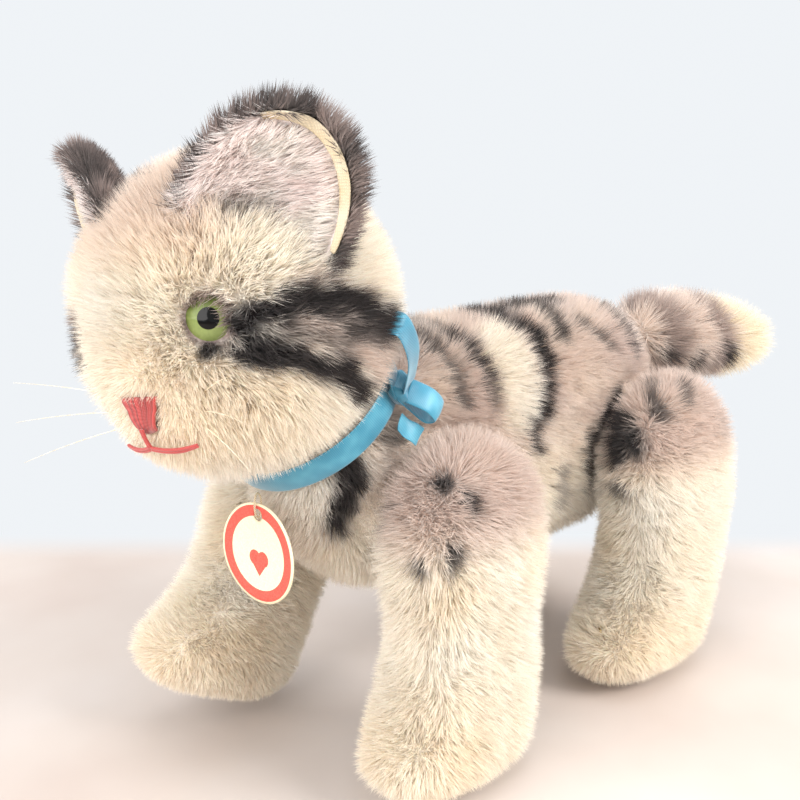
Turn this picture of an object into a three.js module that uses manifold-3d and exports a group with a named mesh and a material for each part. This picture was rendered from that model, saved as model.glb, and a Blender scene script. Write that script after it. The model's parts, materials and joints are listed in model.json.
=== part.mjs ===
// A disc-jointed mohair plush cat: stuffed body, turning head, four turning legs, sewn tail,
// glass eyes, neck ribbon with a bow and a paper tag. Millimetres, +Z up, floor at z = 0.
// The cat faces -Y and its left side is +X. Each soft cover's outer face is the middle of its pile.

import * as THREE from 'three';
import Module from 'manifold-3d';

const wasm = await Module();
wasm.setup();

// ---- driving dimensions -------------------------------------------------------------------

const GAP = 0.35;                 // clear space between neighbouring pieces
const COVER = 5;                  // woven mohair backing with the standing half of its pile
const SLIVER = 0.06;              // detail finer than this is merged away
const RING_POINTS = 16;           // points round each lofted ring

const SHOULDER = { y: -36, z: 70 };     // front leg disc joint, in side view
const HIP = { y: 55, z: 68 };           // hind leg disc joint, in side view
const FLANK_X = 19;                     // half width of the body where a leg lies against it
const LEG_X = 32.8;                     // middle plane of a leg
const FORELEG_STRIDE = 25;              // degrees the right front leg is swung forward

const HEAD_CENTRE = new THREE.Vector3(0, -78, 121);
const HEAD_RADII = new THREE.Vector3(36.5, 35.5, 36.5);
const MUZZLE = { wide: 20, deep: 12.5, tall: 14, forward: 19.5, down: 17 };
const NECK_TILT = 38;                   // degrees the neck axis leans forward from upright
const NECK_DROP = 29;                   // from the head's middle down its axis to the neck joint
const NECK_RADIUS = 22.5;
const NECK_STUB = 22;                   // depth of the neck where it runs into the body
const HEAD_TURN = 10;                   // degrees the head is turned to the cat's left
const HEAD_LEAN = 9;                    // degrees it leans over towards the cat's right

const RIBBON = { width: 7, thick: 0.8, inner: 23.4 };
const TAG = { width: 24, height: 26, thick: 0.7, turn: 8, hole: 1.6, drop: 5.4 };
const EYE = { radius: 5, depth: 4.6, side: 18.5, forward: 25.8, up: 1.5 };
const EAR = { width: 35, height: 27, cup: 6, outer: 2.6, lining: 1.2 };
const WHISKER = { root: 0.35, length: 24, perSide: 3 };

const LIMB_DISC = { radius: 10, thick: 1.9 };
const NECK_DISC = { radius: 15, thick: 2.2 };
const WASHER = { radius: 4, thick: 0.7 };
const PIN = { radius: 0.8, clearance: 0.5, head: 2.6, headThick: 0.9, tail: 4.5 };

// Body along Y, from chest to rump: [y, middle z, half width, half height]
const TORSO = [
  [-72, 80, 0, 0],
  [-69.5, 80, 8, 11],
  [-62, 79, 14, 21],
  [-50, 78, 17.8, 30],
  [-34, 77.5, FLANK_X, 34.5],
  [-8, 77, FLANK_X, 35.5],
  [20, 76.5, FLANK_X, 36],
  [46, 76.5, FLANK_X, 35.5],
  [62, 77, 17.6, 31],
  [73, 78, 12.5, 21],
  [78.5, 79, 6, 10],
  [80, 79, 0, 0],
];

// Legs from sole to top: [height over the sole, forward of the joint, half length, half thickness]
const FORELEG = [
  [0, 5, 19.5, 11],
  [2.5, 5, 23, 13],
  [11, 5, 25, 14],
  [23, 2, 23, 13.2],
  [36, 0, 22, 12.8],
  [50, 0, 22.5, 13],
  [64, 0, 23.5, 13.3],
  [77, 0, 21, 12],
  [86, 0, 14, 8.5],
  [91, 0, 0, 0],
];
const HINDLEG = [
  [0, 11, 21, 11],
  [2.5, 11, 24.5, 13],
  [11, 10, 27, 14],
  [23, 4, 24.5, 13.2],
  [36, -1, 24.5, 12.8],
  [50, -2, 26, 13.2],
  [65, -1, 26, 13.3],
  [78, 0, 22, 12],
  [87, 0, 14, 8.5],
  [92, 0, 0, 0],
];

// Tail from rump to tip: [x, y, z, radius]
const TAIL = [
  [1.5, 75, 96, 0],
  [2, 77, 96, 10],
  [5, 88, 96, 12.5],
  [10, 102, 95, 12],
  [15, 116, 93, 10.5],
  [18.5, 126, 91.5, 8],
  [20.5, 131, 91, 4.5],
  [21.5, 133, 91, 0],
];

// ---- materials ----------------------------------------------------------------------------

function material(colour, roughness, metalness = 0) {
  return new THREE.MeshStandardMaterial({ color: colour, roughness, metalness });
}

const MATERIALS = {
  mohair: material(0xe9dcc8, 0.95),
  stuffing: material(0xc9b37c, 0.95),
  earPlush: material(0xefc9bf, 0.95),
  glass: material(0x8fa04f, 0.08),
  thread: material(0xdb5f55, 0.7),
  whisker: material(0xefe6d2, 0.5),
  ribbon: material(0x5fb0cd, 0.35),
  board: material(0xa58a66, 0.9),
  steel: material(0xa9abad, 0.35, 1),
  tag: material(0xf1e6cf, 0.8),
  cord: material(0xd9c9a6, 0.85),
};

// ---- solids -------------------------------------------------------------------------------

/** A manifold solid from indexed triangles, turned outward if it was built inside out. */
function solidOf(points, triangles) {
  let volume = 0;
  for (const [a, b, c] of triangles) {
    volume += points[a].dot(points[b].clone().cross(points[c]));
  }
  const facing = volume < 0 ? triangles.map(([a, b, c]) => [a, c, b]) : triangles;
  return new wasm.Manifold(new wasm.Mesh({
    numProp: 3,
    vertProperties: new Float32Array(points.flatMap((p) => [p.x, p.y, p.z])),
    triVerts: new Uint32Array(facing.flat()),
  }));
}

/** A closed solid through rings of equal point count, closed at both ends with a fan. */
function loft(rings) {
  const count = rings[0].length;
  const points = rings.flat();
  const triangles = [];
  for (let r = 0; r + 1 < rings.length; r += 1) {
    for (let i = 0; i < count; i += 1) {
      const a = r * count + i;
      const b = r * count + ((i + 1) % count);
      triangles.push([a, b, b + count], [a, b + count, a + count]);
    }
  }
  for (const [ring, flip] of [[0, true], [rings.length - 1, false]]) {
    const middle = new THREE.Vector3();
    rings[ring].forEach((p) => middle.addScaledVector(p, 1 / count));
    points.push(middle);
    for (let i = 0; i < count; i += 1) {
      const a = ring * count + i;
      const b = ring * count + ((i + 1) % count);
      triangles.push(flip ? [b, a, points.length - 1] : [a, b, points.length - 1]);
    }
  }
  return solidOf(points, triangles);
}

/** One ring of a rounded section about a middle point, with half axes along u and v. */
function ring(middle, u, v, halfU, halfV, power = 2.3, count = RING_POINTS) {
  return Array.from({ length: count }, (_, i) => {
    const angle = (2 * Math.PI * i) / count;
    const c = Math.cos(angle);
    const s = Math.sin(angle);
    const across = halfU * Math.sign(c) * Math.abs(c) ** (2 / power);
    const along = halfV * Math.sign(s) * Math.abs(s) ** (2 / power);
    return middle.clone().addScaledVector(u, across).addScaledVector(v, along);
  });
}

/** A thin closed solid over a grid of points, thickened along each point's own normal. */
function thickened(rows, normals, thick) {
  const nu = rows.length;
  const nv = rows[0].length;
  const front = rows.flat();
  const back = front.map((p, i) => p.clone().addScaledVector(normals.flat()[i], thick));
  const size = front.length;
  const at = (i, j) => i * nv + j;
  const triangles = [];
  for (let i = 0; i + 1 < nu; i += 1) {
    for (let j = 0; j + 1 < nv; j += 1) {
      const [a, b, c, d] = [at(i, j), at(i + 1, j), at(i + 1, j + 1), at(i, j + 1)];
      triangles.push([a, b, c], [a, c, d]);
      triangles.push([size + a, size + c, size + b], [size + a, size + d, size + c]);
    }
  }
  const rim = [];
  for (let j = 0; j < nv; j += 1) rim.push(at(0, j));
  for (let i = 1; i < nu; i += 1) rim.push(at(i, nv - 1));
  for (let j = nv - 2; j >= 0; j -= 1) rim.push(at(nu - 1, j));
  for (let i = nu - 2; i > 0; i -= 1) rim.push(at(i, 0));
  rim.forEach((a, k) => {
    const b = rim[(k + 1) % rim.length];
    triangles.push([a, b, size + b], [a, size + b, size + a]);
  });
  return solidOf([...front, ...back], triangles);
}

/** A round bar between two points. */
function bar(from, to, radius, count = 14, endRadius = radius) {
  const axis = to.clone().sub(from).normalize();
  const side = Math.abs(axis.x) > 0.8 ? new THREE.Vector3(0, 1, 0) : new THREE.Vector3(1, 0, 0);
  const u = side.cross(axis).normalize();
  const v = axis.clone().cross(u);
  return loft([
    ring(from, u, v, radius, radius, 2, count),
    ring(to, u, v, endRadius, endRadius, 2, count),
  ]);
}

/** A round wire along a smooth path, closed into a loop or with flat ends. */
function wire(path, radius, steps, closed = false, halfSides = 3) {
  const curve = new THREE.CatmullRomCurve3(path, closed);
  const section = new THREE.Shape();
  section.absarc(0, 0, radius, 0, 2 * Math.PI);
  const tube = new THREE.ExtrudeGeometry(section, {
    extrudePath: curve,
    steps,
    curveSegments: halfSides,
    bevelEnabled: false,
  });
  return fromGeometry(tube);
}

/** A manifold solid from a three.js geometry, with coincident corners joined. */
function fromGeometry(geometry) {
  const position = geometry.getAttribute('position');
  const seen = new Map();
  const points = [];
  const lookup = [];
  for (let i = 0; i < position.count; i += 1) {
    const p = new THREE.Vector3().fromBufferAttribute(position, i);
    const key = [p.x, p.y, p.z].map((c) => Math.round(c * 1e4)).join();
    if (!seen.has(key)) {
      seen.set(key, points.length);
      points.push(p);
    }
    lookup.push(seen.get(key));
  }
  const index = geometry.index ? [...geometry.index.array] : lookup.map((_, i) => i);
  const triangles = [];
  for (let i = 0; i < index.length; i += 3) {
    const [a, b, c] = [lookup[index[i]], lookup[index[i + 1]], lookup[index[i + 2]]];
    if (a !== b && b !== c && c !== a) triangles.push([a, b, c]);
  }
  return solidOf(points, triangles);
}

function union(solids) {
  return solids.reduce((whole, next) => whole.add(next));
}

function without(solid, cutters) {
  return cutters.reduce((left, cutter) => left.subtract(cutter), solid);
}

/** A solid turned by a three.js matrix. */
function moved(solid, matrix) {
  return solid.transform([...matrix.elements]);
}

// ---- shared frames ------------------------------------------------------------------------

const X = new THREE.Vector3(1, 0, 0);
const Y = new THREE.Vector3(0, 1, 0);
const Z = new THREE.Vector3(0, 0, 1);
const lean = THREE.MathUtils.degToRad(NECK_TILT);
const NECK_AXIS = new THREE.Vector3(0, -Math.sin(lean), Math.cos(lean));
const NECK_SLOPE = new THREE.Vector3(0, Math.cos(lean), Math.sin(lean));
const NECK = HEAD_CENTRE.clone().addScaledVector(NECK_AXIS, -NECK_DROP);

/** A point on or round the neck: radius and angle about its axis, and height along it. */
function neckPoint(radius, angle, height) {
  return NECK.clone()
    .addScaledVector(X, radius * Math.cos(angle))
    .addScaledVector(NECK_SLOPE, radius * Math.sin(angle))
    .addScaledVector(NECK_AXIS, height);
}

/** A plain disc or cylinder about the neck axis between two heights. */
function neckDrum(radius, low, high, count = 20) {
  return bar(neckPoint(0, 0, low), neckPoint(0, 0, high), radius, count);
}

/** How the face is set on the head: turned about the upright, then leaned about its middle. */
const HEAD_POSE = new THREE.Matrix4()
  .makeTranslation(HEAD_CENTRE.x, HEAD_CENTRE.y, HEAD_CENTRE.z)
  .multiply(new THREE.Matrix4().makeRotationZ(THREE.MathUtils.degToRad(HEAD_TURN)))
  .multiply(new THREE.Matrix4().makeRotationY(THREE.MathUtils.degToRad(-HEAD_LEAN)))
  .multiply(new THREE.Matrix4().makeTranslation(-HEAD_CENTRE.x, -HEAD_CENTRE.y, -HEAD_CENTRE.z));

// ---- body ---------------------------------------------------------------------------------

function torsoShape(inset) {
  const middle = TORSO.length / 2;
  const rings = TORSO.map(([y, z, width, height], i) => ring(
    new THREE.Vector3(0, y + inset * Math.sign(middle - i - 0.5), z),
    X,
    Z,
    Math.max(width - inset, 0.4),
    Math.max(height - inset, 0.4),
    3,
  ));
  const collar = neckDrum(NECK_RADIUS - inset, -RIBBON.width - 3 * GAP, -inset, 16);
  const stub = neckDrum(NECK_RADIUS - inset, -NECK_STUB, -inset, 16);
  return union([loft(rings), collar, stub.intersect(betweenLegs(FLANK_X - inset))]);
}

/** The room between the legs, which they swing past on both sides. */
function betweenLegs(half) {
  const room = new THREE.BoxGeometry(2 * half, 400, 400);
  return fromGeometry(room);
}

/** Everything on the head's side of the neck joint, down to the given height. */
function aboveNeck(height) {
  return neckDrum(90, height, height + 90, 12);
}

/** The groove that the neck ribbon lies in. */
function ribbonGroove() {
  const low = -RIBBON.width - 2 * GAP;
  return without(neckDrum(NECK_RADIUS + 12, low, 1, 12), [neckDrum(NECK_RADIUS, low - 1, 2, 16)]);
}

const TORSO_JOINTS = [
  { name: 'left_front', side: 1, at: SHOULDER },
  { name: 'right_front', side: -1, at: SHOULDER },
  { name: 'left_hind', side: 1, at: HIP },
  { name: 'right_hind', side: -1, at: HIP },
];

/** A round space about a leg's joint axis, between two distances from the cat's middle plane. */
function legBore({ side, at }, from, to, radius, count) {
  const a = new THREE.Vector3(side * from, at.y, at.z);
  const b = new THREE.Vector3(side * to, at.y, at.z);
  return bar(a, b, radius, count);
}

/** The hole a leg's cotter pin passes through. */
function pinBore(joint, from, to) {
  return legBore(joint, from, to, PIN.radius + PIN.clearance, 8);
}

/** Where a leg's disc lies against the inside of a cover, pressing it flat. */
function discSeat(joint, from, to) {
  return legBore(joint, from, to, LIMB_DISC.radius + GAP, 14);
}

function torsoCover() {
  const outer = without(torsoShape(0), [aboveNeck(0), ribbonGroove()]);
  const bores = TORSO_JOINTS.flatMap((joint) => [
    pinBore(joint, 8, FLANK_X + 5),
    discSeat(joint, 4, FLANK_X - COVER),
  ]);
  const neckBore = neckDrum(PIN.radius + PIN.clearance, -12, 4, 8);
  return without(outer, [without(torsoShape(COVER), [aboveNeck(-COVER)]), ...bores, neckBore]);
}

function torsoStuffing() {
  const fill = without(torsoShape(COVER + GAP), [aboveNeck(-COVER - GAP)]);
  const room = TORSO_JOINTS.flatMap(({ side, at }) => {
    const inner = FLANK_X - COVER - LIMB_DISC.thick - WASHER.thick - 3 * GAP;
    const joint = { side, at };
    return [
      discSeat(joint, inner, FLANK_X),
      legBore(joint, inner - PIN.tail, FLANK_X, WASHER.radius, 12),
    ];
  });
  const floor = -COVER - NECK_DISC.thick - WASHER.thick - 3 * GAP;
  const neckRoom = [
    neckDrum(NECK_DISC.radius + GAP, floor, 0, 20),
    neckDrum(WASHER.radius, floor - PIN.tail, 0, 12),
  ];
  return without(fill, [...room, ...neckRoom]);
}

function tailShape(inset) {
  const last = TAIL.length - 1;
  const along = TAIL.map(([x, y, z]) => new THREE.Vector3(x, y, z));
  const rings = TAIL.map(([, , , radius], i) => {
    const axis = along[Math.min(i + 1, last)].clone().sub(along[Math.max(i - 1, 0)]).normalize();
    const u = Z.clone().cross(axis).normalize();
    const v = axis.clone().cross(u);
    const ends = i < 2 ? inset : 0;
    const middle = along[i].clone().addScaledVector(axis, i > last - 2 ? -inset : ends);
    const r = Math.max(radius - inset, 0.4);
    return ring(middle, u, v, r, r, 2, 14);
  });
  return loft(rings);
}

function tailCover() {
  const mouth = bar(new THREE.Vector3(1, 70, 96), new THREE.Vector3(4, 88, 96), 4.5, 10);
  return without(tailShape(0), [tailShape(4), mouth, grownTorso()]);
}

function tailStuffing() {
  const body = tailShape(4 + GAP);
  return without(body, [grownTorso()]);
}

/** The body's outer shape with the working gap added all round. */
function grownTorso() {
  return torsoShape(-GAP);
}

// ---- legs ---------------------------------------------------------------------------------

/** A leg's outer shape, upright, on the given side. */
function legShape(stations, joint, side, inset) {
  const top = stations[stations.length - 1][0];
  const stretch = (top - 2 * inset) / top;
  const rings = stations.map(([height, forward, length, thick]) => ring(
    new THREE.Vector3(side * LEG_X, joint.y - forward, inset + height * stretch),
    X,
    Y,
    Math.max(thick - inset, 0.4),
    Math.max(length - inset, 0.4),
    2.5,
  ));
  const inner = FLANK_X + GAP + inset;
  const beyond = bar(
    new THREE.Vector3(side * (inner - 40), joint.y, joint.z),
    new THREE.Vector3(side * inner, joint.y, joint.z),
    140,
    12,
  );
  return without(loft(rings), [beyond]);
}

/** The turn about a leg's joint that swings its foot forward by some degrees. */
function legPose(joint, forward) {
  return new THREE.Matrix4()
    .makeTranslation(0, joint.y, joint.z)
    .multiply(new THREE.Matrix4().makeRotationX(THREE.MathUtils.degToRad(-forward)))
    .multiply(new THREE.Matrix4().makeTranslation(0, -joint.y, -joint.z));
}

function legCover(stations, { side, at }, forward) {
  const shell = without(legShape(stations, at, side, 0), [
    legShape(stations, at, side, COVER),
    pinBore({ side, at }, FLANK_X - 2, FLANK_X + COVER + 3),
    discSeat({ side, at }, FLANK_X + COVER + GAP, LEG_X),
  ]);
  return moved(shell, legPose(at, forward));
}

function legStuffing(stations, { side, at }, forward) {
  const inner = FLANK_X + COVER;
  const depth = inner + LIMB_DISC.thick + PIN.headThick + 5 * GAP;
  const room = discSeat({ side, at }, inner, depth);
  const fill = without(legShape(stations, at, side, COVER + GAP), [room]);
  return moved(fill, legPose(at, forward));
}

// ---- disc joints --------------------------------------------------------------------------

/** A flat ring, such as a fibreboard disc or steel washer, along an axis from a point. */
function flatRing(origin, axis, from, thick, radius, count) {
  const a = origin.clone().addScaledVector(axis, from);
  const b = origin.clone().addScaledVector(axis, from + thick);
  const boreA = origin.clone().addScaledVector(axis, from - 1);
  const boreB = origin.clone().addScaledVector(axis, from + thick + 1);
  return without(bar(a, b, radius, count), [bar(boreA, boreB, PIN.radius + GAP, 6)]);
}

/** A steel cotter pin: flat head in the limb, shank, and two legs curled against the washer. */
function cotterPin(origin, axis, across, head, washer) {
  const at = (along, off) => origin.clone().addScaledVector(axis, along).addScaledVector(across, off);
  const curl = (way) => wire([
    at(washer + 0.5, 0),
    at(washer - 1.6, way * 0.5),
    at(washer - 2.6, way * 1.6),
    at(washer - 1.9, way * 2.7),
    at(washer - 0.9, way * 2.6),
  ], 0.5, 6);
  return union([
    bar(at(head, 0), at(head + PIN.headThick, 0), PIN.head, 10),
    bar(at(washer - 1, 0), at(head + 0.2, 0), PIN.radius, 6),
    curl(1),
    curl(-1),
  ]);
}

/** The four hidden pieces of one disc joint, about an axis from the middle of its gap. */
function discJoint(prefix, origin, axis, across, disc, count) {
  const bodyDisc = -COVER - GAP - disc.thick;
  const washer = bodyDisc - GAP - WASHER.thick;
  const limbDisc = GAP + COVER + GAP;
  const head = limbDisc + disc.thick + GAP;
  return {
    [`${prefix}_body_disc`]: flatRing(origin, axis, bodyDisc, disc.thick, disc.radius, count),
    [`${prefix}_washer`]: flatRing(origin, axis, washer, WASHER.thick, WASHER.radius - GAP, 10),
    [`${prefix}_limb_disc`]: flatRing(origin, axis, limbDisc, disc.thick, disc.radius, count),
    [`${prefix}_cotter_pin`]: cotterPin(origin, axis, across, head, washer - GAP),
  };
}

// ---- head ---------------------------------------------------------------------------------

/** The head's outer shape: a wide round skull with a low, short muzzle. */
function headShape(inset) {
  const skull = new THREE.SphereGeometry(1, 18, 12);
  skull.scale(HEAD_RADII.x - inset, HEAD_RADII.y - inset, HEAD_RADII.z - inset);
  skull.translate(HEAD_CENTRE.x, HEAD_CENTRE.y, HEAD_CENTRE.z);
  const muzzle = new THREE.SphereGeometry(1, 12, 7);
  muzzle.scale(MUZZLE.wide - inset, MUZZLE.deep - inset, MUZZLE.tall - inset);
  muzzle.translate(HEAD_CENTRE.x, HEAD_CENTRE.y - MUZZLE.forward, HEAD_CENTRE.z - MUZZLE.down);
  return union([fromGeometry(skull), fromGeometry(muzzle)]);
}

/** A point on the head in its own terms: to the cat's left, forward and up from its middle. */
function headPoint(left, forward, up) {
  return new THREE.Vector3(left, -forward, up).add(HEAD_CENTRE);
}

function eyeAxis(side) {
  return new THREE.Vector3(side * EYE.side, -EYE.forward, EYE.up).normalize();
}

/** A flattened ball of glass, grown by a margin, with its back at the socket's floor. */
function eyeBall(side, margin) {
  const ball = new THREE.SphereGeometry(1, 12, 8);
  ball.scale(EYE.radius + margin, EYE.radius + margin, EYE.depth / 2 + margin);
  const face = new THREE.Matrix4().makeRotationFromQuaternion(
    new THREE.Quaternion().setFromUnitVectors(Z, eyeAxis(side)),
  );
  const middle = headPoint(side * EYE.side, EYE.forward, EYE.up);
  ball.applyMatrix4(face);
  ball.translate(middle.x, middle.y, middle.z);
  return fromGeometry(ball);
}

/** The space in front of an eye that the pile is clipped back from. */
function eyeSocket(side) {
  const middle = headPoint(side * EYE.side, EYE.forward, EYE.up);
  const out = middle.clone().addScaledVector(eyeAxis(side), 14);
  return union([eyeBall(side, GAP), bar(middle, out, EYE.radius + GAP, 12, EYE.radius + 3)]);
}

/** A stiff wire shank behind a glass eye, ending in the loop that the eye is tied by. */
function eyeShank(side, margin = 0) {
  const middle = headPoint(side * EYE.side, EYE.forward, EYE.up);
  const axis = eyeAxis(side);
  const from = middle.clone().addScaledVector(axis, -EYE.depth / 2 - GAP + 3 * margin);
  const to = middle.clone().addScaledVector(axis, -EYE.depth / 2 - 7);
  const end = middle.clone().addScaledVector(axis, -EYE.depth / 2 - 9);
  return union([
    bar(from, to, 0.6 + margin, 6),
    bar(to.clone().addScaledVector(axis, 0.5), end, 1.6 + margin, 6),
  ]);
}

function headCover() {
  const cuts = [1, -1].flatMap((side) => [eyeSocket(side), eyeShank(side, GAP)]);
  const below = neckDrum(90, GAP - 60, GAP, 12);
  const hollow = moved(headShape(COVER), HEAD_POSE);
  const inside = without(hollow, [neckDrum(90, -60, GAP + COVER, 12)]);
  const bore = neckDrum(PIN.radius + PIN.clearance, -2, 8, 8);
  const outside = moved(without(headShape(0), cuts), HEAD_POSE);
  return without(outside, [below, inside, bore]);
}

function headStuffing() {
  const floor = 2 * GAP + COVER;
  const top = floor + NECK_DISC.thick + PIN.headThick + 3 * GAP;
  const room = neckDrum(NECK_DISC.radius + GAP, 0, top, 20);
  const cuts = [1, -1].flatMap((side) => [eyeSocket(side), eyeShank(side, GAP)]);
  const fill = moved(without(headShape(COVER + GAP), cuts), HEAD_POSE);
  return without(fill, [neckDrum(90, -60, floor, 12), room]);
}

/** Corner-to-corner frame of one ear: base middle, base direction, ear upward, and facing. */
function earFrame(side) {
  const inner = headPoint(side * 11.5, 18.5, 30);
  const outer = headPoint(side * 32.5, 1, 10);
  const tip = headPoint(side * 29, 12, 43);
  const base = inner.clone().add(outer).multiplyScalar(0.5);
  const along = outer.clone().sub(inner).normalize();
  const rise = tip.clone().sub(base);
  rise.addScaledVector(along, -rise.dot(along)).normalize();
  const facing = along.clone().cross(rise).multiplyScalar(side).normalize();
  return { base, along, rise, facing };
}

/** One layer of a cupped half-round ear, standing off the ear's mid surface. */
function earLayer(side, from, thick, shrink) {
  const { base, along, rise, facing } = earFrame(side);
  const across = 8;
  const up = 6;
  const rows = [];
  const normals = [];
  for (let i = 0; i < across; i += 1) {
    const s = -1 + (2 * i) / (across - 1);
    const row = [];
    for (let j = 0; j < up; j += 1) {
      const t = -0.25 + (1.23 * j) / (up - 1);
      const reach = (EAR.width / 2 - shrink) * Math.sqrt(1 - Math.max(t, 0) ** 2.4);
      const hollow = EAR.cup * (s * s * (1 - 0.4 * t) + 0.25 * t * t);
      row.push(base.clone()
        .addScaledVector(along, s * reach)
        .addScaledVector(rise, t * (EAR.height - shrink))
        .addScaledVector(facing, hollow + from));
    }
    rows.push(row);
    normals.push(row.map(() => facing.clone()));
  }
  const sheet = thickened(rows, normals, thick);
  return moved(without(sheet, [headShape(-GAP)]), HEAD_POSE);
}

function earBack(side) {
  return earLayer(side, -EAR.outer, EAR.outer, 0);
}

function earLining(side) {
  return earLayer(side, GAP, EAR.lining, 1.6);
}

/** A stitched pad lying on the face, between a grown head and a deeper one. */
function facePad(outline, depth) {
  const near = outline.map(([left, up]) => headPoint(left, 24, up));
  const far = outline.map(([left, up]) => headPoint(left, 52, up));
  const prism = loft([near, far]);
  const pad = without(prism.intersect(headShape(-GAP - depth)), [headShape(-GAP)]);
  return moved(pad, HEAD_POSE);
}

function noseStitching() {
  const half = [[5, -13], [5.4, -14.1], [1.6, -19.8]];
  const mirrored = half.map(([left, up]) => [-left, up]).reverse();
  return facePad([...half, ...mirrored], 1.2);
}

/** The mouth: one thread down from the nose, then out to both sides, as one stitched line. */
function mouthStitching() {
  const bend = (left) => -24.3 + 0.012 * left * left;
  const upper = [-13, -9, -5, -1.2].map((left) => [left, bend(left) + 0.6]);
  const lower = [13, 9, 5, 0, -5, -9, -13].map((left) => [left, bend(left) - 0.6]);
  const outline = [
    ...upper,
    [-0.6, -22],
    [-0.6, -20.4],
    [0.6, -20.4],
    [0.6, -22],
    ...upper.map(([left, up]) => [-left, up]).reverse(),
    ...lower,
  ];
  const shape = new THREE.Shape(outline.map(([left, up]) => new THREE.Vector2(left, up)));
  const prism = new THREE.ExtrudeGeometry(shape, { depth: 30, bevelEnabled: false });
  prism.rotateX(Math.PI / 2);
  prism.translate(HEAD_CENTRE.x, HEAD_CENTRE.y - 20, HEAD_CENTRE.z);
  const thread = fromGeometry(prism).intersect(headShape(-GAP - 0.8));
  return moved(without(thread, [headShape(-GAP)]), HEAD_POSE);
}

/** One stiff whisker, from the cheek outwards. */
function whisker(side, index) {
  const spread = index - (WHISKER.perSide - 1) / 2;
  const root = headPoint(side * 12, 28, -17.5 - spread * 3.2);
  const way = new THREE.Vector3(side * 0.86, -0.42, 0.08 - spread * 0.22).normalize();
  const tip = root.clone().addScaledVector(way, WHISKER.length);
  const hair = bar(root, tip, WHISKER.root, 5, WHISKER.root / 2);
  return moved(without(hair, [headShape(-GAP)]), HEAD_POSE);
}

// ---- ribbon, bow and tag --------------------------------------------------------------------

function neckRibbon() {
  const low = -RIBBON.width - GAP;
  const outer = neckDrum(RIBBON.inner + RIBBON.thick, low, -GAP, 30);
  return without(outer, [neckDrum(RIBBON.inner, low - 1, 1, 30)]);
}

/** A strip of ribbon standing on edge or flat, along a path, with its width along one way. */
function strip(path, widthWay, width, thick, steps) {
  const curve = new THREE.CatmullRomCurve3(path);
  const rows = [];
  const normals = [];
  for (let i = 0; i <= steps; i += 1) {
    const p = curve.getPoint(i / steps);
    const tangent = curve.getTangent(i / steps);
    const normal = widthWay.clone().cross(tangent).normalize();
    rows.push([
      p.clone().addScaledVector(widthWay, -width / 2),
      p.clone().addScaledVector(widthWay, width / 2),
    ]);
    normals.push([normal.clone(), normal.clone()]);
  }
  return thickened(rows, normals, thick);
}

/** Where the bow is tied, as an angle round the neck, on the cat's left and to the rear. */
const BOW_ANGLE = THREE.MathUtils.degToRad(22);

/** A point by the bow: outward from the neck, round it, and along its axis. */
function bowPoint(out, round, height) {
  const radius = RIBBON.inner + RIBBON.thick + GAP + out;
  return neckPoint(radius, BOW_ANGLE + round / radius, height - RIBBON.width / 2);
}

function bowKnot() {
  const along = bowPoint(0, 1, 0).sub(bowPoint(0, -1, 0)).normalize();
  const heights = [[0, 2.2], [0.8, 3.2], [2.6, 3.4], [3.6, 2.2]];
  return loft(heights.map(([out, half]) => ring(
    bowPoint(out, 0, 0),
    along,
    NECK_AXIS,
    half,
    half + 0.6,
    3,
    12,
  )));
}

/** A flattened loop of ribbon that leaves the knot along the neck axis and comes back. */
function bowLoop(way, reach, splay) {
  const along = bowPoint(0, 1, 0).sub(bowPoint(0, -1, 0)).normalize();
  const turns = [
    [1.6, 0, 0],
    [2.0, 0.45, 0.4],
    [2.6, 0.86, 0.75],
    [4.0, 1, 1],
    [4.6, 0.84, 0.96],
    [4.2, 0.4, 0.6],
    [3.6, 0.06, 0.16],
  ];
  const path = turns.map(([out, far, spread]) => bowPoint(
    out + splay * spread,
    0,
    way * (4.4 + reach * far),
  ));
  return strip(path, along, RIBBON.width, 0.6, 14);
}

function bowTail(round, reach) {
  const along = bowPoint(0, round + 1, 0).sub(bowPoint(0, round - 1, 0)).normalize();
  const path = [
    bowPoint(1.4, round, -4.6),
    bowPoint(2.2, round, -4.6 - reach * 0.5),
    bowPoint(3.2, round, -4.6 - reach),
  ];
  return strip(path, along, RIBBON.width * 0.8, 0.6, 4);
}

/** Turn of the tag about the upright, so that it half faces the cat's left. */
const TAG_TURN = THREE.MathUtils.degToRad(TAG.turn);
const TAG_WIDE = new THREE.Vector3(Math.cos(TAG_TURN), Math.sin(TAG_TURN), 0);
const TAG_FRONT = new THREE.Vector3(Math.sin(TAG_TURN), -Math.cos(TAG_TURN), 0);

/** The tag's hanging point, just in front of the ribbon at the throat. */
function tagPivot() {
  return neckPoint(RIBBON.inner + RIBBON.thick + 1.2, -Math.PI / 2 + 0.12, -RIBBON.width + 1);
}

function paperTag() {
  const top = tagPivot().addScaledVector(Z, -TAG.drop + 3);
  const middle = top.clone().addScaledVector(Z, -TAG.height / 2);
  const face = ring(middle, TAG_WIDE, Z, TAG.width / 2, TAG.height / 2, 2.1, 24);
  const back = face.map((p) => p.clone().addScaledVector(TAG_FRONT, -TAG.thick / 2));
  const front = face.map((p) => p.clone().addScaledVector(TAG_FRONT, TAG.thick / 2));
  const hole = top.clone().addScaledVector(Z, -3);
  const bore = bar(
    hole.clone().addScaledVector(TAG_FRONT, -2),
    hole.clone().addScaledVector(TAG_FRONT, 2),
    TAG.hole,
    12,
  );
  return without(loft([back, front]), [bore]);
}

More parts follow.
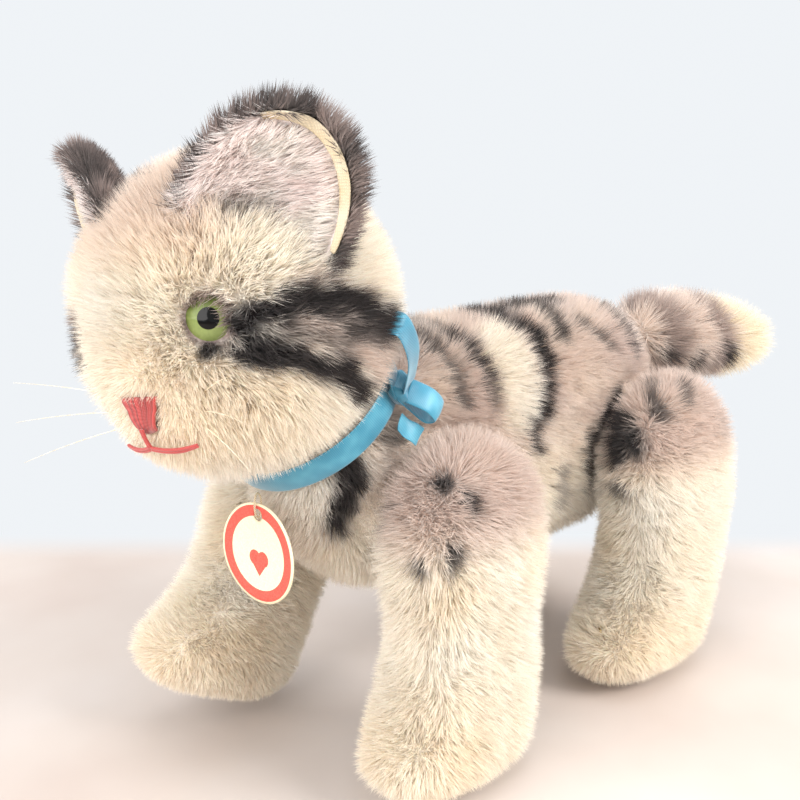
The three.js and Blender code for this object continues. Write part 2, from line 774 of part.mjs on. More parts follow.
/** A thread looped through the tag's hole and stitched to the ribbon. */
function tagThread() {
  const pivot = tagPivot();
  const path = Array.from({ length: 10 }, (_, i) => {
    const angle = (2 * Math.PI * i) / 10;
    return pivot.clone()
      .addScaledVector(Z, -TAG.drop / 2 - (TAG.drop / 2) * -Math.cos(angle) - 0.4)
      .addScaledVector(TAG_FRONT, 1.1 * Math.sin(angle));
  });
  return wire(path, 0.35, 14, true);
}

// ---- assembly -----------------------------------------------------------------------------

const group = new THREE.Group();
group.name = 'plush_cat';

function add(name, solid, look) {
  const mesh = solid.simplify(SLIVER).getMesh();
  const geometry = new THREE.BufferGeometry();
  const corners = new Float32Array(mesh.numVert * 3);
  for (let i = 0; i < mesh.numVert; i += 1) {
    for (let k = 0; k < 3; k += 1) {
      corners[3 * i + k] = mesh.vertProperties[i * mesh.numProp + k];
    }
  }
  geometry.setAttribute('position', new THREE.BufferAttribute(corners, 3));
  geometry.setIndex(new THREE.BufferAttribute(new Uint32Array(mesh.triVerts), 1));
  geometry.computeVertexNormals();
  const part = new THREE.Mesh(geometry, look);
  part.name = name;
  group.add(part);
}

function addBody() {
  add('torso_cover', torsoCover(), MATERIALS.mohair);
  add('torso_stuffing', torsoStuffing(), MATERIALS.stuffing);
  add('tail_cover', tailCover(), MATERIALS.mohair);
  add('tail_stuffing', tailStuffing(), MATERIALS.stuffing);
}

function addHead() {
  add('head_cover', headCover(), MATERIALS.mohair);
  add('head_stuffing', headStuffing(), MATERIALS.stuffing);
  add('nose_stitching', noseStitching(), MATERIALS.thread);
  add('mouth_stitching', mouthStitching(), MATERIALS.thread);
  for (const [word, side] of [['left', 1], ['right', -1]]) {
    add(`${word}_ear_back`, earBack(side), MATERIALS.mohair);
    add(`${word}_ear_lining`, earLining(side), MATERIALS.earPlush);
    add(`${word}_eye_glass`, moved(eyeBall(side, 0), HEAD_POSE), MATERIALS.glass);
    add(`${word}_eye_shank`, moved(eyeShank(side), HEAD_POSE), MATERIALS.steel);
    for (let i = 0; i < WHISKER.perSide; i += 1) {
      add(`${word}_whisker_${i + 1}`, whisker(side, i), MATERIALS.whisker);
    }
  }
}

function addJoint(prefix, origin, axis, across, disc, count) {
  const looks = { body_disc: 'board', limb_disc: 'board', washer: 'steel', cotter_pin: 'steel' };
  const pieces = discJoint(prefix, origin, axis, across, disc, count);
  for (const [name, solid] of Object.entries(pieces)) {
    add(name, solid, MATERIALS[looks[name.slice(prefix.length + 1)]]);
  }
}

function addLegs() {
  for (const joint of TORSO_JOINTS) {
    const stations = joint.at === SHOULDER ? FORELEG : HINDLEG;
    const forward = joint.name === 'right_front' ? FORELEG_STRIDE : 0;
    add(`${joint.name}_leg_cover`, legCover(stations, joint, forward), MATERIALS.mohair);
    add(`${joint.name}_leg_stuffing`, legStuffing(stations, joint, forward), MATERIALS.stuffing);
    const origin = new THREE.Vector3(joint.side * FLANK_X, joint.at.y, joint.at.z);
    const axis = new THREE.Vector3(joint.side, 0, 0);
    addJoint(`${joint.name}_leg`, origin, axis, Z, LIMB_DISC, 14);
  }
}

function addTrimmings() {
  add('neck_ribbon', neckRibbon(), MATERIALS.ribbon);
  add('bow_knot', bowKnot(), MATERIALS.ribbon);
  add('bow_upper_loop', bowLoop(1, 12, 7.5), MATERIALS.ribbon);
  add('bow_lower_loop', bowLoop(-1, 7, 4), MATERIALS.ribbon);
  add('bow_tail', bowTail(-6.6, 6), MATERIALS.ribbon);
  add('paper_tag', paperTag(), MATERIALS.tag);
  add('tag_thread', tagThread(), MATERIALS.cord);
}

addBody();
addHead();
addLegs();
addJoint('neck', NECK, NECK_AXIS, X, NECK_DISC, 18);
addTrimmings();

// The origin is the middle of the whole cat's footprint, on the floor.
const extent = new THREE.Box3().setFromObject(group);
const centre = extent.getCenter(new THREE.Vector3());
group.position.set(-centre.x, -centre.y, -extent.min.z);

export default group;
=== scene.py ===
"""A jointed mohair plush cat: stuffed skins with standing pile, glass eyes, ribbon, tag."""

import json
import math

import bmesh
import bpy
import numpy as np
from mathutils import Matrix, Quaternion, Vector


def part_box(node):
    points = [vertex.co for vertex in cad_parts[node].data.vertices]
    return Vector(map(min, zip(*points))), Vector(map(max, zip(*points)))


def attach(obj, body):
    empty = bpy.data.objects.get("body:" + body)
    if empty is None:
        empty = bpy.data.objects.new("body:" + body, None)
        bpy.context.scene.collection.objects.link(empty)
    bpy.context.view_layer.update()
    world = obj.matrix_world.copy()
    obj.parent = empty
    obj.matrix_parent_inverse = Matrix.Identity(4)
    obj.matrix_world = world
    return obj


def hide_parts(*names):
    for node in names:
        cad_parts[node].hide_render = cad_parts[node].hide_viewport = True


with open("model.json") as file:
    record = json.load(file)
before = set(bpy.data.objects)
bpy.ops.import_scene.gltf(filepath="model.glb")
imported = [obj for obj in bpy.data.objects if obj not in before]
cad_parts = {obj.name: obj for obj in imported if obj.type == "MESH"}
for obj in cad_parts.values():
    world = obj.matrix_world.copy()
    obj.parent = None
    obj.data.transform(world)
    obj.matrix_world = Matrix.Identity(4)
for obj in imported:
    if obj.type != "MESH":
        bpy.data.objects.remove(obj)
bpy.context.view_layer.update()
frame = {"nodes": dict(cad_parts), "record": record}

MM = 0.001
RECORD = frame["record"]
JOINTS = {j["name"]: j for j in RECORD["behaviour"]["joints"]}

# ---- driving dimensions -------------------------------------------------------------------

PILE = 6.8 * MM                # length of a full strand of mohair
STRAND = 0.16 * MM             # half width of a strand at its root
DENSITY = 7.5e6                # strands per square metre of cloth
STANDING = 2.7 * MM            # from the woven backing out to the middle of standing pile
PRESSED = 0.9 * MM             # the same where the pile is squashed flat against a neighbour
CLUMP = 2.0 * MM               # size of the small clumps that strands gather into
TUFT = 4.2 * MM                # size of the patches that lean together
LEAN = dict(tuft=0.34, stray=0.12, gather=0.7)   # sideways shares of a strand's way
ROOT_FADE = 0.14               # how far a strand's colour goes towards cream at its root
CLOTH_CAP = 1.2 * MM           # most that a point may move as the stuffing swells
SWELL_STEPS = 20               # frames of cloth that the swelling takes
FOOT_RISE = 1.2 * MM           # how much further out the backing lies on a foot
SOCKET = (9, 11)               # mm from an eye: filled up to the first, as it is past the second

NECK_DROP = 29 * MM            # neck joint to the middle of the head, along the neck axis
HEAD_TURN = math.radians(10)   # the face's turn to the cat's left, about the upright
HEAD_LEAN = math.radians(9)    # its lean towards the cat's right
STRIDE = math.radians(25)      # how far forward the right foreleg rests
SKULL = (36.5 * MM, 35.5 * MM, 36.5 * MM)
MUZZLE = dict(wide=20 * MM, deep=12.5 * MM, tall=14 * MM, forward=19.5 * MM, down=17 * MM)
EYE = dict(radius=5.3 * MM, depth=2.7 * MM, side=18.5 * MM, forward=25.8 * MM, up=1.5 * MM)
EAR = dict(width=34 * MM, height=24.5 * MM, cup=6 * MM)
RIBBON = dict(width=7 * MM, inner=23.4 * MM, thick=0.35 * MM)
TAG = dict(thick=0.5 * MM, curl=0.7 * MM, hole=1.6 * MM, hole_drop=3 * MM)  # hole: its radius

CAMERA = dict(azimuth=46, pitch=13.9, lens=47.25, place=(0.1986, -0.2236, 0.160))

BAKE_MAP = "OFBake"            # the UV map that places each strand on a flat chart of its skin
CHART_DOT = 0.0012             # half of a strand's size on that map
TILE_MARGIN = 0.04             # bare edge round each of its tiles

LEFT, RIGHT = 1, -1
SIDES = (("left", LEFT), ("right", RIGHT))
LEGS = ("left_front", "right_front", "left_hind", "right_hind")


# ---- colours ------------------------------------------------------------------------------

def linear(red, green, blue):
    """A linear colour from the 0-255 values a screen shows."""
    srgb = np.array([red, green, blue]) / 255.0
    return np.where(srgb <= 0.04045, srgb / 12.92, ((srgb + 0.055) / 1.055) ** 2.4)


CREAM = linear(255, 251, 245)
WARM = linear(253, 236, 212)
TINT = linear(212, 190, 182)
TIP = linear(249, 239, 220)
DARK = linear(44, 36, 37)
BROWN = linear(134, 106, 100)
EAR_PINK = linear(255, 244, 241)


# ---- vector helpers -----------------------------------------------------------------------

def unit(v):
    """Rows of v scaled to length one."""
    return v / np.maximum(np.linalg.norm(v, axis=-1, keepdims=True), 1e-12)


def smooth(x, low, high):
    """0 below low, 1 above high, and a soft ramp between."""
    t = np.clip((x - low) / (high - low), 0, 1)
    return t * t * (3 - 2 * t)


class Noise:
    """Smooth repeating noise from -1 to 1 on a lattice, seeded, with several channels."""

    def __init__(self, seed, channels=1, size=24):
        self.size = size
        self.table = np.random.default_rng(seed).uniform(-1, 1, (size, size, size, channels))

    def at(self, points, cell):
        p = points / cell
        base = np.floor(p).astype(int)
        f = p - base
        f = f * f * (3 - 2 * f)
        total = 0
        for corner in np.ndindex(2, 2, 2):
            pick = (base + corner) % self.size
            share = np.prod(np.where(corner, f, 1 - f), axis=1)
            total = total + self.table[pick[:, 0], pick[:, 1], pick[:, 2]] * share[:, None]
        return total


def spread(place, count):
    """Where one of count evenly spaced places lies between -1 and 1."""
    return -1 + 2 * place / (count - 1)


def turn_at(place, count):
    """The angle of one of count evenly spaced places round a circle."""
    return 2 * math.pi * place / count


# ---- places on the cat --------------------------------------------------------------------

NECK = Vector(JOINTS["neck_turn"]["pos_m"])
NECK_AXIS = Vector(JOINTS["neck_turn"]["axis"]).normalized()
NECK_SLOPE = Vector((0, NECK_AXIS.z, -NECK_AXIS.y))
HEAD_CENTRE = NECK + NECK_AXIS * NECK_DROP
HEAD_POSE = Quaternion((0, 0, 1), HEAD_TURN) @ Quaternion((0, 1, 0), -HEAD_LEAN)


def head_point(left, forward, up):
    """A point on the head, in the head's own terms, put in the rest pose."""
    return HEAD_CENTRE + HEAD_POSE @ Vector((left, -forward, up))


def head_local(points):
    """Row-frame points as left, forward, up from the head's middle."""
    turn = np.array(HEAD_POSE.to_matrix())
    return (points - np.array(HEAD_CENTRE)) @ turn * np.array([1, -1, 1])


def head_world(local):
    """The other way: left, forward, up from the head's middle to row-frame points."""
    turn = np.array(HEAD_POSE.to_matrix())
    return (local * np.array([1, -1, 1])) @ turn.T + np.array(HEAD_CENTRE)


def neck_point(radius, angle, height):
    """A point round the neck: radius and angle about its axis, and height along it."""
    across = Vector((radius * math.cos(angle), 0, 0))
    return NECK + across + NECK_SLOPE * (radius * math.sin(angle)) + NECK_AXIS * height


def face_forward(left, up, sink=0.0):
    """How far forward the pile's surface lies at this place on the face."""
    best = 0
    for (wide, deep, tall, forward, down) in (
        (*SKULL, 0, 0),
        (MUZZLE["wide"], MUZZLE["deep"], MUZZLE["tall"], MUZZLE["forward"], MUZZLE["down"]),
    ):
        rest = 1 - (left / (wide - sink)) ** 2 - ((up + down) / (tall - sink)) ** 2
        if rest > 0:
            best = max(best, forward + (deep - sink) * math.sqrt(rest))
    return best


def on_face(left, up, lift):
    """A point on the face, lifted off the pile's surface."""
    return head_point(left, face_forward(left, up) + lift, up)


# ---- meshes -------------------------------------------------------------------------------

def new_object(name, data):
    ob = bpy.data.objects.new(name, data)
    bpy.context.scene.collection.objects.link(ob)
    return ob


def make(name, verts, faces, material, body):
    """A smooth-shaded mesh object on a body."""
    mesh = bpy.data.meshes.new(name)
    mesh.from_pydata([tuple(v) for v in verts], [], [tuple(f) for f in faces])
    mesh.update()
    mesh.shade_smooth()
    mesh.materials.append(material)
    ob = new_object(name, mesh)
    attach(ob, body)
    return ob


def stands_for(node):
    """Hides the CAD node that a piece replaces."""
    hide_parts(node)


def face_outward(ob):
    """Turns every face of a closed mesh to look out of it."""
    bm = bmesh.new()
    bm.from_mesh(ob.data)
    bmesh.ops.recalc_face_normals(bm, faces=bm.faces)
    bm.to_mesh(ob.data)
    bm.free()


def grid_faces(rows, columns, close_rows=False, close_columns=False, start=0):
    """Quads over a grid of points numbered row by row."""
    faces = []
    for i in range(rows if close_rows else rows - 1):
        for j in range(columns if close_columns else columns - 1):
            a = start + i * columns + j
            b = start + i * columns + (j + 1) % columns
            c = start + ((i + 1) % rows) * columns + (j + 1) % columns
            d = start + ((i + 1) % rows) * columns + j
            faces.append((a, b, c, d))
    return faces


def tubes(paths, radius, sides=8, taper=None):
    """Vertices and faces of round threads along several paths, with closed ends."""
    verts, faces = [], []
    for path in paths:
        start = len(verts)
        count = len(path)
        side = None
        for i, p in enumerate(path):
            axis = step_at(path, i)
            if side is None:
                side = axis.orthogonal()
            side = (side - axis * side.dot(axis)).normalized()
            other = axis.cross(side)
            r = radius * (taper(i / (count - 1)) if taper else 1)
            for k in range(sides):
                angle = turn_at(k, sides)
                verts.append(p + side * (r * math.cos(angle)) + other * (r * math.sin(angle)))
        faces += grid_faces(count, sides, close_columns=True, start=start)
        faces.append(tuple(range(start + sides - 1, start - 1, -1)))
        faces.append(tuple(range(start + (count - 1) * sides, start + count * sides)))
    return verts, faces


def step_at(path, i):
    """The way a path runs past its point i."""
    return (path[min(i + 1, len(path) - 1)] - path[max(i - 1, 0)]).normalized()


def curved(points, steps):
    """A smooth path through points, by Catmull-Rom."""
    path = []
    last = len(points) - 1
    for i in range(last):
        p0, p1, p2, p3 = (points[min(max(k, 0), last)] for k in (i - 1, i, i + 1, i + 2))
        for s in range(steps):
            t = s / steps
            path.append(0.5 * (
                2 * p1
                + (p2 - p0) * t
                + (2 * p0 - 5 * p1 + 4 * p2 - p3) * t * t
                + (3 * p1 - p0 - 3 * p2 + p3) * t ** 3
            ))
    return path + [points[-1].copy()]


def read_vectors(places, word):
    """One three-part property of every vertex, in rows."""
    values = np.empty(len(places) * 3, np.float32)
    places.foreach_get(word, values)
    return values.reshape(-1, 3).astype(float)


def coordinates(mesh):
    return read_vectors(mesh.vertices, "co")


def vertex_normals(mesh):
    return read_vectors(mesh.vertex_normals, "vector")


def move_vertices(mesh, points):
    mesh.vertices.foreach_set("co", points.astype(np.float32).ravel())


def paint(mesh, colours):
    """A colour for each vertex, which the materials read as the attribute strand."""
    layer = mesh.attributes.new("strand", "FLOAT_COLOR", "POINT")
    rgba = np.ones((len(colours), 4), np.float32)
    rgba[:, :3] = colours
    layer.data.foreach_set("color", rgba.ravel())


def modified(ob, kind, **settings):
    """Adds a modifier of this kind with these settings."""
    modifier = ob.modifiers.new(kind.lower(), kind)
    for word, value in settings.items():
        setattr(modifier, word, value)
    return modifier


def applied(ob):
    """Bakes an object's modifiers into its mesh."""
    graph = bpy.context.evaluated_depsgraph_get()
    graph.update()
    mesh = bpy.data.meshes.new_from_object(ob.evaluated_get(graph))
    ob.modifiers.clear()
    ob.data = mesh


# ---- stuffed skins ------------------------------------------------------------------------

def swell(ob):
    """Lets the cover fill out under the stuffing's pressure, as cloth, and keeps it close."""
    start = coordinates(ob.data)
    cloth = modified(ob, "CLOTH")
    cloth.settings.use_pressure = True
    cloth.settings.uniform_pressure_force = 4
    cloth.settings.effector_weights.gravity = 0
    cloth.settings.quality = 4
    cloth.point_cache.frame_start = 1
    cloth.point_cache.frame_end = SWELL_STEPS
    for step in range(SWELL_STEPS):
        bpy.context.scene.frame_set(step + 1)
    applied(ob)
    bpy.context.scene.frame_set(1)
    move = coordinates(ob.data) - start
    length = np.linalg.norm(move, axis=1, keepdims=True)
    move *= np.minimum(1, CLOTH_CAP / np.maximum(length, 1e-9))
    move_vertices(ob.data, start + move)


def outside_only(ob):
    """Keeps the largest closed surface of a hollow cover: its outside."""
    bm = bmesh.new()
    bm.from_mesh(ob.data)
    left = set(bm.verts)
    largest = set()
    while left:
        stack = [left.pop()]
        group = set(stack)
        while stack:
            vert = stack.pop()
            for edge in vert.link_edges:
                other = edge.other_vert(vert)
                if other in left:
                    left.remove(other)
                    group.add(other)
                    stack.append(other)
        if len(group) > len(largest):
            largest = group
    bmesh.ops.delete(bm, geom=[v for v in bm.verts if v not in largest], context="VERTS")
    bm.to_mesh(ob.data)
    bm.free()


def filled_sockets(points):
    """Lifts the head cover over the eye sockets, back to the skull's own curve."""
    local = head_local(points)
    level = np.linalg.norm(local / np.array(SKULL), axis=1, keepdims=True)
    share = (1 - smooth(round_the_eye(local / MM), *SOCKET))[:, None]
    lifted = local / np.where(level > 0.5, level, 1)
    return head_world(local + (lifted - local) * share)


def joined(name, nodes):
    """One mesh object holding the shapes of several CAD nodes."""
    solid = bmesh.new()
    for node in nodes:
        solid.from_mesh(frame["nodes"][node].data)
    mesh = bpy.data.meshes.new(name)
    solid.to_mesh(mesh)
    solid.free()
    return new_object(name, mesh)


def stuffed_skin(name, nodes, depth, voxel, rounds):
    """The woven backing of one stuffed piece, swollen and smoothed, as a plain object.

    nodes are the CAD cover and what fills it. The cover's outer face is the middle of the
    pile, and depth says how far inside that face the backing lies at each point.
    """
    ob = joined(name, nodes)
    modified(ob, "REMESH", mode="VOXEL", voxel_size=voxel)
    applied(ob)
    outside_only(ob)
    modified(ob, "SMOOTH", factor=0.5, iterations=rounds)
    applied(ob)
    if "head_cover" in nodes:
        move_vertices(ob.data, filled_sockets(coordinates(ob.data)))
        ob.data.update()
    points, normals = coordinates(ob.data), vertex_normals(ob.data)
    move_vertices(ob.data, points - normals * depth(points, normals)[:, None])
    ob.data.update()
    swell(ob)
    modified(ob, "SMOOTH", factor=0.5, iterations=1)
    modified(ob, "SUBSURF", levels=1, render_levels=1)
    applied(ob)
    ob.data.update()
    ob.data.shade_smooth()
    return ob


# ---- pile ---------------------------------------------------------------------------------

def scatter(mesh, density, rng):
    """Random points and normals over a mesh's surface."""
    mesh.calc_loop_triangles()
    corners = np.empty(len(mesh.loop_triangles) * 3, np.int32)
    mesh.loop_triangles.foreach_get("vertices", corners)
    corners = corners.reshape(-1, 3)
    co = coordinates(mesh)[corners]
    normal = vertex_normals(mesh)[corners]
    area = np.linalg.norm(np.cross(co[:, 1] - co[:, 0], co[:, 2] - co[:, 0]), axis=1) / 2
    total = int(area.sum() * density)
    pick = rng.choice(len(area), total, p=area / area.sum())
    a, b = rng.random(total), rng.random(total)
    flip = a + b > 1
    a, b = np.where(flip, 1 - a, a), np.where(flip, 1 - b, b)
    share = np.stack([1 - a - b, a, b], 1)[:, :, None]
    return (co[pick] * share).sum(1), unit((normal[pick] * share).sum(1))


def skin_map(roots, normals):
    """A place on a flat chart for each root: six tiles, one for each way its skin may face."""
    axis = np.abs(normals).argmax(1)
    facing = normals[np.arange(len(roots)), axis] > 0
    low, high = roots.min(0), roots.max(0)
    share = TILE_MARGIN + (1 - 2 * TILE_MARGIN) * (roots - low) / (high - low)
    across = share[np.arange(len(roots)), (axis + 1) % 3]
    up = share[np.arange(len(roots)), (axis + 2) % 3]
    return np.stack([(axis + across) / 3, (facing + up) / 2], 1)


def strands(name, roots, normals, ways, lengths, root_colour, tip_colour, rng, material, body):
    """One mesh of tapered strands, a narrow triangle each, mapped where they stand on the skin."""
    count = len(roots)
    side = unit(np.cross(ways, rng.normal(size=(count, 3))))
    bend = unit(np.cross(ways, side)) * (rng.normal(size=(count, 1)) * 0.14)
    half = side * (STRAND * (0.7 + 0.6 * rng.random((count, 1))))
    tip = roots + (ways + bend) * lengths[:, None]
    co = np.stack([roots - half, roots + half, tip], 1)
    mesh = bpy.data.meshes.new(name)
    mesh.vertices.add(count * 3)
    mesh.vertices.foreach_set("co", co.astype(np.float32).ravel())
    mesh.loops.add(count * 3)
    mesh.loops.foreach_set("vertex_index", np.arange(count * 3, dtype=np.int32))
    mesh.polygons.add(count)
    mesh.polygons.foreach_set("loop_start", np.arange(count, dtype=np.int32) * 3)
    mesh.update(calc_edges=True)
    mesh.shade_smooth()
    paint(mesh, np.stack([root_colour, root_colour, tip_colour], 1).reshape(-1, 3))
    corners = skin_map(roots, normals)[:, None] + np.array([[-1, -1], [1, -1], [0, 1]]) * CHART_DOT
    layer = mesh.uv_layers.new(name=BAKE_MAP)
    layer.data.foreach_set("uv", corners.astype(np.float32).ravel())
    mesh.materials.append(material)
    ob = new_object(name, mesh)
    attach(ob, body)
    return ob


TUFTS = Noise(3, channels=3)
PATCHES = Noise(8, channels=3)


def clumped(points):
    """From each root towards the middle of its own small clump, as if the pile had parted."""
    jitter = TUFTS.table.reshape(-1, 3)
    cell = np.floor(points / CLUMP).astype(int)
    pick = (cell @ np.array([73, 179, 283])) % len(jitter)
    return (cell + 0.5 + 0.45 * jitter[pick]) * CLUMP - points


def pile(name, skin, body, coat, depth, material, seed, density=1.0):
    """The standing mohair on one skin. coat gives its length, lay and colours at each root."""
    rng = np.random.default_rng(seed)
    amount = DENSITY * density * 1
    roots, normals = scatter(skin.data, amount, rng)
    surface = roots + normals * depth(roots, normals)[:, None]
    length, comb, colour = coat(surface, normals)
    keep = length > 0.05 * PILE
    roots, normals, length = roots[keep], normals[keep], length[keep]
    comb, colour = comb[keep], colour[keep]
    tuft = TUFTS.at(roots, TUFT) * LEAN["tuft"]
    gather = clumped(roots)
    gather = gather - normals * (gather * normals).sum(1, keepdims=True)
    stray = rng.normal(size=roots.shape) * LEAN["stray"]
    ways = unit(normals + comb + tuft + stray + gather / PILE * LEAN["gather"])
    length = length * (0.74 + 0.34 * rng.random(len(length)))
    light = 1 + 0.07 * rng.normal(size=(len(roots), 1)).clip(-2, 2)
    tip = np.clip(colour * light, 0, 1)
    root = tip + (CREAM * 0.92 - tip) * ROOT_FADE
    return strands(name, roots, normals, ways, length, root, tip, rng, material, body)


# ---- markings -----------------------------------------------------------------------------

def near_line(points, line):
    """Distance from each point to a line of straight pieces, all in millimetres."""
    best = np.full(len(points), 1e9)
    stops = np.array(line, float)
    if len(stops) == 1:
        return np.linalg.norm(points - stops[0], axis=1)
    for a, b in zip(stops[:-1], stops[1:]):
        along = np.clip(((points - a) @ (b - a)) / ((b - a) @ (b - a)), 0, 1)
        best = np.minimum(best, np.linalg.norm(points - a - along[:, None] * (b - a), axis=1))
    return best


def stroke(points, line, width, strength=1.0):
    """How much dye each point takes from one airbrushed stroke with ragged, soft edges."""
    ragged = PATCHES.at(points * MM, 2.2 * MM)[:, 0] * width * 0.45
    return strength * (1 - smooth(near_line(points, line) + ragged, width * 0.45, width * 1.25))


def all_over(points, value):
    """The same row for every point."""
    return np.tile(value, (len(points), 1))


def mix(base, colour, share):
    return base + (colour - base) * share[:, None]


HEAD_STROKES = (
    # the two long cheek stripes behind the eye, with a greyer one between them
    ([(25, 25, -1.5), (28.5, 21.5, 1.5), (31.5, 16.5, 2.7), (34, 11, 2.2)], 2.9, 1.0),
    ([(31.5, 16.5, 2.7), (34, 11, 2.2), (36, 3.5, 0.5), (34.5, -7, -3), (31, -14, -6)], 3.9, 1.0),
    ([(24, 25.5, -5.8), (28, 21, -6.9), (31.5, 14.5, -9.5), (33, 5, -13), (29, -5, -20)], 3.1, 1.0),
    ([(35, 3, -5), (33.5, -9, -8)], 2.8, 0.8),
    ([(27, 23, -2.8), (32, 15.5, -3.4), (34, 6, -7)], 2.8, 0.45),
    # the spot under the eye, and short marks in front of the ear and over the crown
    ([(19.4, 29.2, -5.4)], 2.6, 1.0),
    ([(8, 15.5, 31.5), (13, 17, 28.5)], 2.4, 0.85),
    ([(20, 18, 23.5), (26, 12, 22)], 2.2, 0.6),
    ([(4, 4, 36), (5, -10, 35), (4, -22, 28)], 3.0, 0.55),
    ([(18, -8, 30), (19, -22, 22)], 3.0, 0.55),
)
BODY_STROKES = (
    # the dark patch on the chest beside the foreleg, and ticks over the shoulder
    ([(19, -67, 84), (17, -66, 76), (14, -66, 69)], 4.4, 1.0),
    ([(19, -58, 91), (18.5, -50, 90), (18, -43, 91)], 2.4, 0.75),
    # bands from the spine down the flank
    ([(0, -25, 113), (8, -23, 111), (13, -19.5, 107), (17, -17, 99), (18, -16, 91)], 2.7, 0.95),
    ([(0, -33, 111), (9, -31, 109), (15, -29, 103), (18, -28, 95)], 2.6, 0.7),
    ([(0, -2, 113), (8, 3, 112), (13, 8, 107), (17, 7, 99), (18, 6, 93), (18.5, 5, 86)], 3.8, 1.0),
    ([(19, -1, 83), (19, 2, 76)], 2.6, 0.95),
    ([(0, 22, 113), (8, 22, 112), (14, 19, 106)], 3.6, 0.9),
    ([(12, 30, 108), (16, 36, 103), (16, 42, 97)], 2.0, 0.7),
    ([(19, 43, 83), (19, 36, 79), (19, 33, 75)], 4.6, 1.0),
    ([(19, 28, 72), (18, 30, 59)], 4.0, 0.9),
    ([(19, 14, 66), (18, 16, 56)], 3.0, 0.5),
    ([(0, 0, 113), (0, 30, 113)], 4.4, 0.95),
    ([(0, 48, 112), (9, 50, 108), (16, 56, 96)], 3.0, 0.7),
)
FORELEG_STROKES = (
    ([(36, -57, 85), (39, -54, 83)], 1.9, 0.95),
    ([(40, -52, 88), (44, -47, 87)], 1.6, 0.7),
    ([(43, -50.5, 80), (44, -50, 77)], 1.9, 0.95),
    ([(37, -64.5, 66), (39, -63.5, 62.5)], 1.9, 0.85),
    ([(44, -56, 67), (43.5, -57, 63)], 2.0, 0.9),
    ([(24, -62, 82), (24, -65, 70)], 3.6, 0.9),
    ([(24, -52, 92), (30, -44, 92)], 2.6, 0.6),
)
HINDLEG_STROKES = (
    ([(26, 31, 81), (31, 28, 79), (36, 26, 75)], 4.4, 1.0),
    ([(29, 27, 76), (30, 25, 71)], 4.2, 1.0),
    ([(24, 24, 72), (26, 23, 60)], 3.4, 0.9),
    ([(30, 25, 62), (33, 25, 60)], 2.4, 0.75),
    ([(30, 44, 92), (34, 37, 88), (40, 35, 83)], 2.6, 0.75),
    ([(36, 52, 92), (42, 46, 86)], 2.4, 0.7),
    ([(45, 58, 82), (46, 62, 74)], 2.4, 0.5),
)


def dyed(base, points, strokes):
    """The coat's colours after every stroke, the same on both sides."""
    mirrored = points.copy()
    mirrored[:, 0] = np.abs(points[:, 0])
    colour = base
    for line, width, strength in strokes:
        colour = mix(colour, DARK, stroke(mirrored, line, width, strength))
    return colour


def cream_ground(points):
    """Cream mohair with faint warm and pale patches."""
    patch = PATCHES.at(points, 14 * MM)[:, 1]
    return mix(all_over(points, CREAM), WARM, 0.34 + 0.26 * patch)


# ---- coats: lay, length and colour --------------------------------------------------------

def down(points, share):
    """A comb straight down."""
    return all_over(points, np.array([0, 0, -share]))


def near_ribbon(points):
    """0 under the neck ribbon and rising to 1 clear of it."""
    rel = points - np.array(NECK)
    height = rel @ np.array(NECK_AXIS)
    return smooth(np.abs(height + RIBBON["width"] * 0.55), 2.5 * MM, 7.5 * MM)


def evenly(points, normals):
    """Pile that stands everywhere."""
    return np.full(len(points), STANDING)


def between(pressed):
    """How deep the backing lies where the pile is partly squashed."""
    return STANDING + (PRESSED - STANDING) * pressed


def leg_pivot(leg):
    return np.array(JOINTS[f"{leg}_leg_turn"]["pos_m"])


def held(points, facing, pivot, near, far):
    """1 where a joint at pivot holds two pieces together, on the sides that face each other."""
    reach = np.linalg.norm((points - pivot)[:, 1:], axis=1)
    return (1 - smooth(reach, near, far)) * smooth(np.clip(facing, 0, 1), 0.3, 0.8)


def torso_pressed(points, normals):
    """1 where a leg's joint holds it against the flank."""
    pressed = np.zeros(len(points))
    for pivot in (leg_pivot(leg) for leg in LEGS):
        facing = normals[:, 0] * np.sign(pivot[0])
        pressed = np.maximum(pressed, held(points, facing, pivot, 17 * MM, 25 * MM))
    return pressed


def torso_depth(points, normals):
    return between(torso_pressed(points, normals))


def torso_coat(points, normals):
    mm = points / MM
    clear = near_ribbon(points)
    length = PILE * (0.16 + 0.84 * clear) * (1 - 0.85 * torso_pressed(points, normals))
    flank = mm.copy()
    flank[:, 0] = np.abs(mm[:, 0])
    pale = 1 - smooth(near_line(flank, [(15, -7, 106), (19, -5, 90)]), 6, 12)
    tinted_top = smooth(mm[:, 2], 60, 92) * smooth(mm[:, 1], -70, -50)
    cloudy = 0.50 + 0.22 * PATCHES.at(points, 9 * MM)[:, 2]
    ground = mix(cream_ground(points), TINT, cloudy * tinted_top * (1 - 0.95 * pale))
    return length, all_over(points, [0, 0.16, -0.12]), dyed(ground, mm, BODY_STROKES)


def tail_coat(points, normals):
    low, high = (np.array(v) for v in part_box("tail_cover"))
    along = (points[:, 1] - low[1]) / (high[1] - low[1])
    band = 0.5 + 0.5 * np.cos((along - 0.16) * 2 * math.pi * 3.1)
    band = smooth(band + PATCHES.at(points, 4 * MM)[:, 0] * 0.35, 0.45, 0.85)
    fade = 1 - smooth(along, 0.50, 0.66)
    colour = mix(cream_ground(points), TIP, 1 - fade)
    colour = mix(colour, TINT, 0.45 * fade)
    colour = mix(colour, BROWN, 0.55 * band * fade)
    colour = dyed(colour, points / MM, (
        ([(14, 74, 93), (16, 78, 90)], 3.0, 0.9),
        ([(18, 87, 90), (17, 88, 86)], 3.2, 1.0),
        ([(22, 99, 92), (22, 101, 88)], 3.0, 1.0),
    ))
    return np.full(len(points), PILE * 1.25), all_over(points, [0.04, 0.42, 0.0]), colour


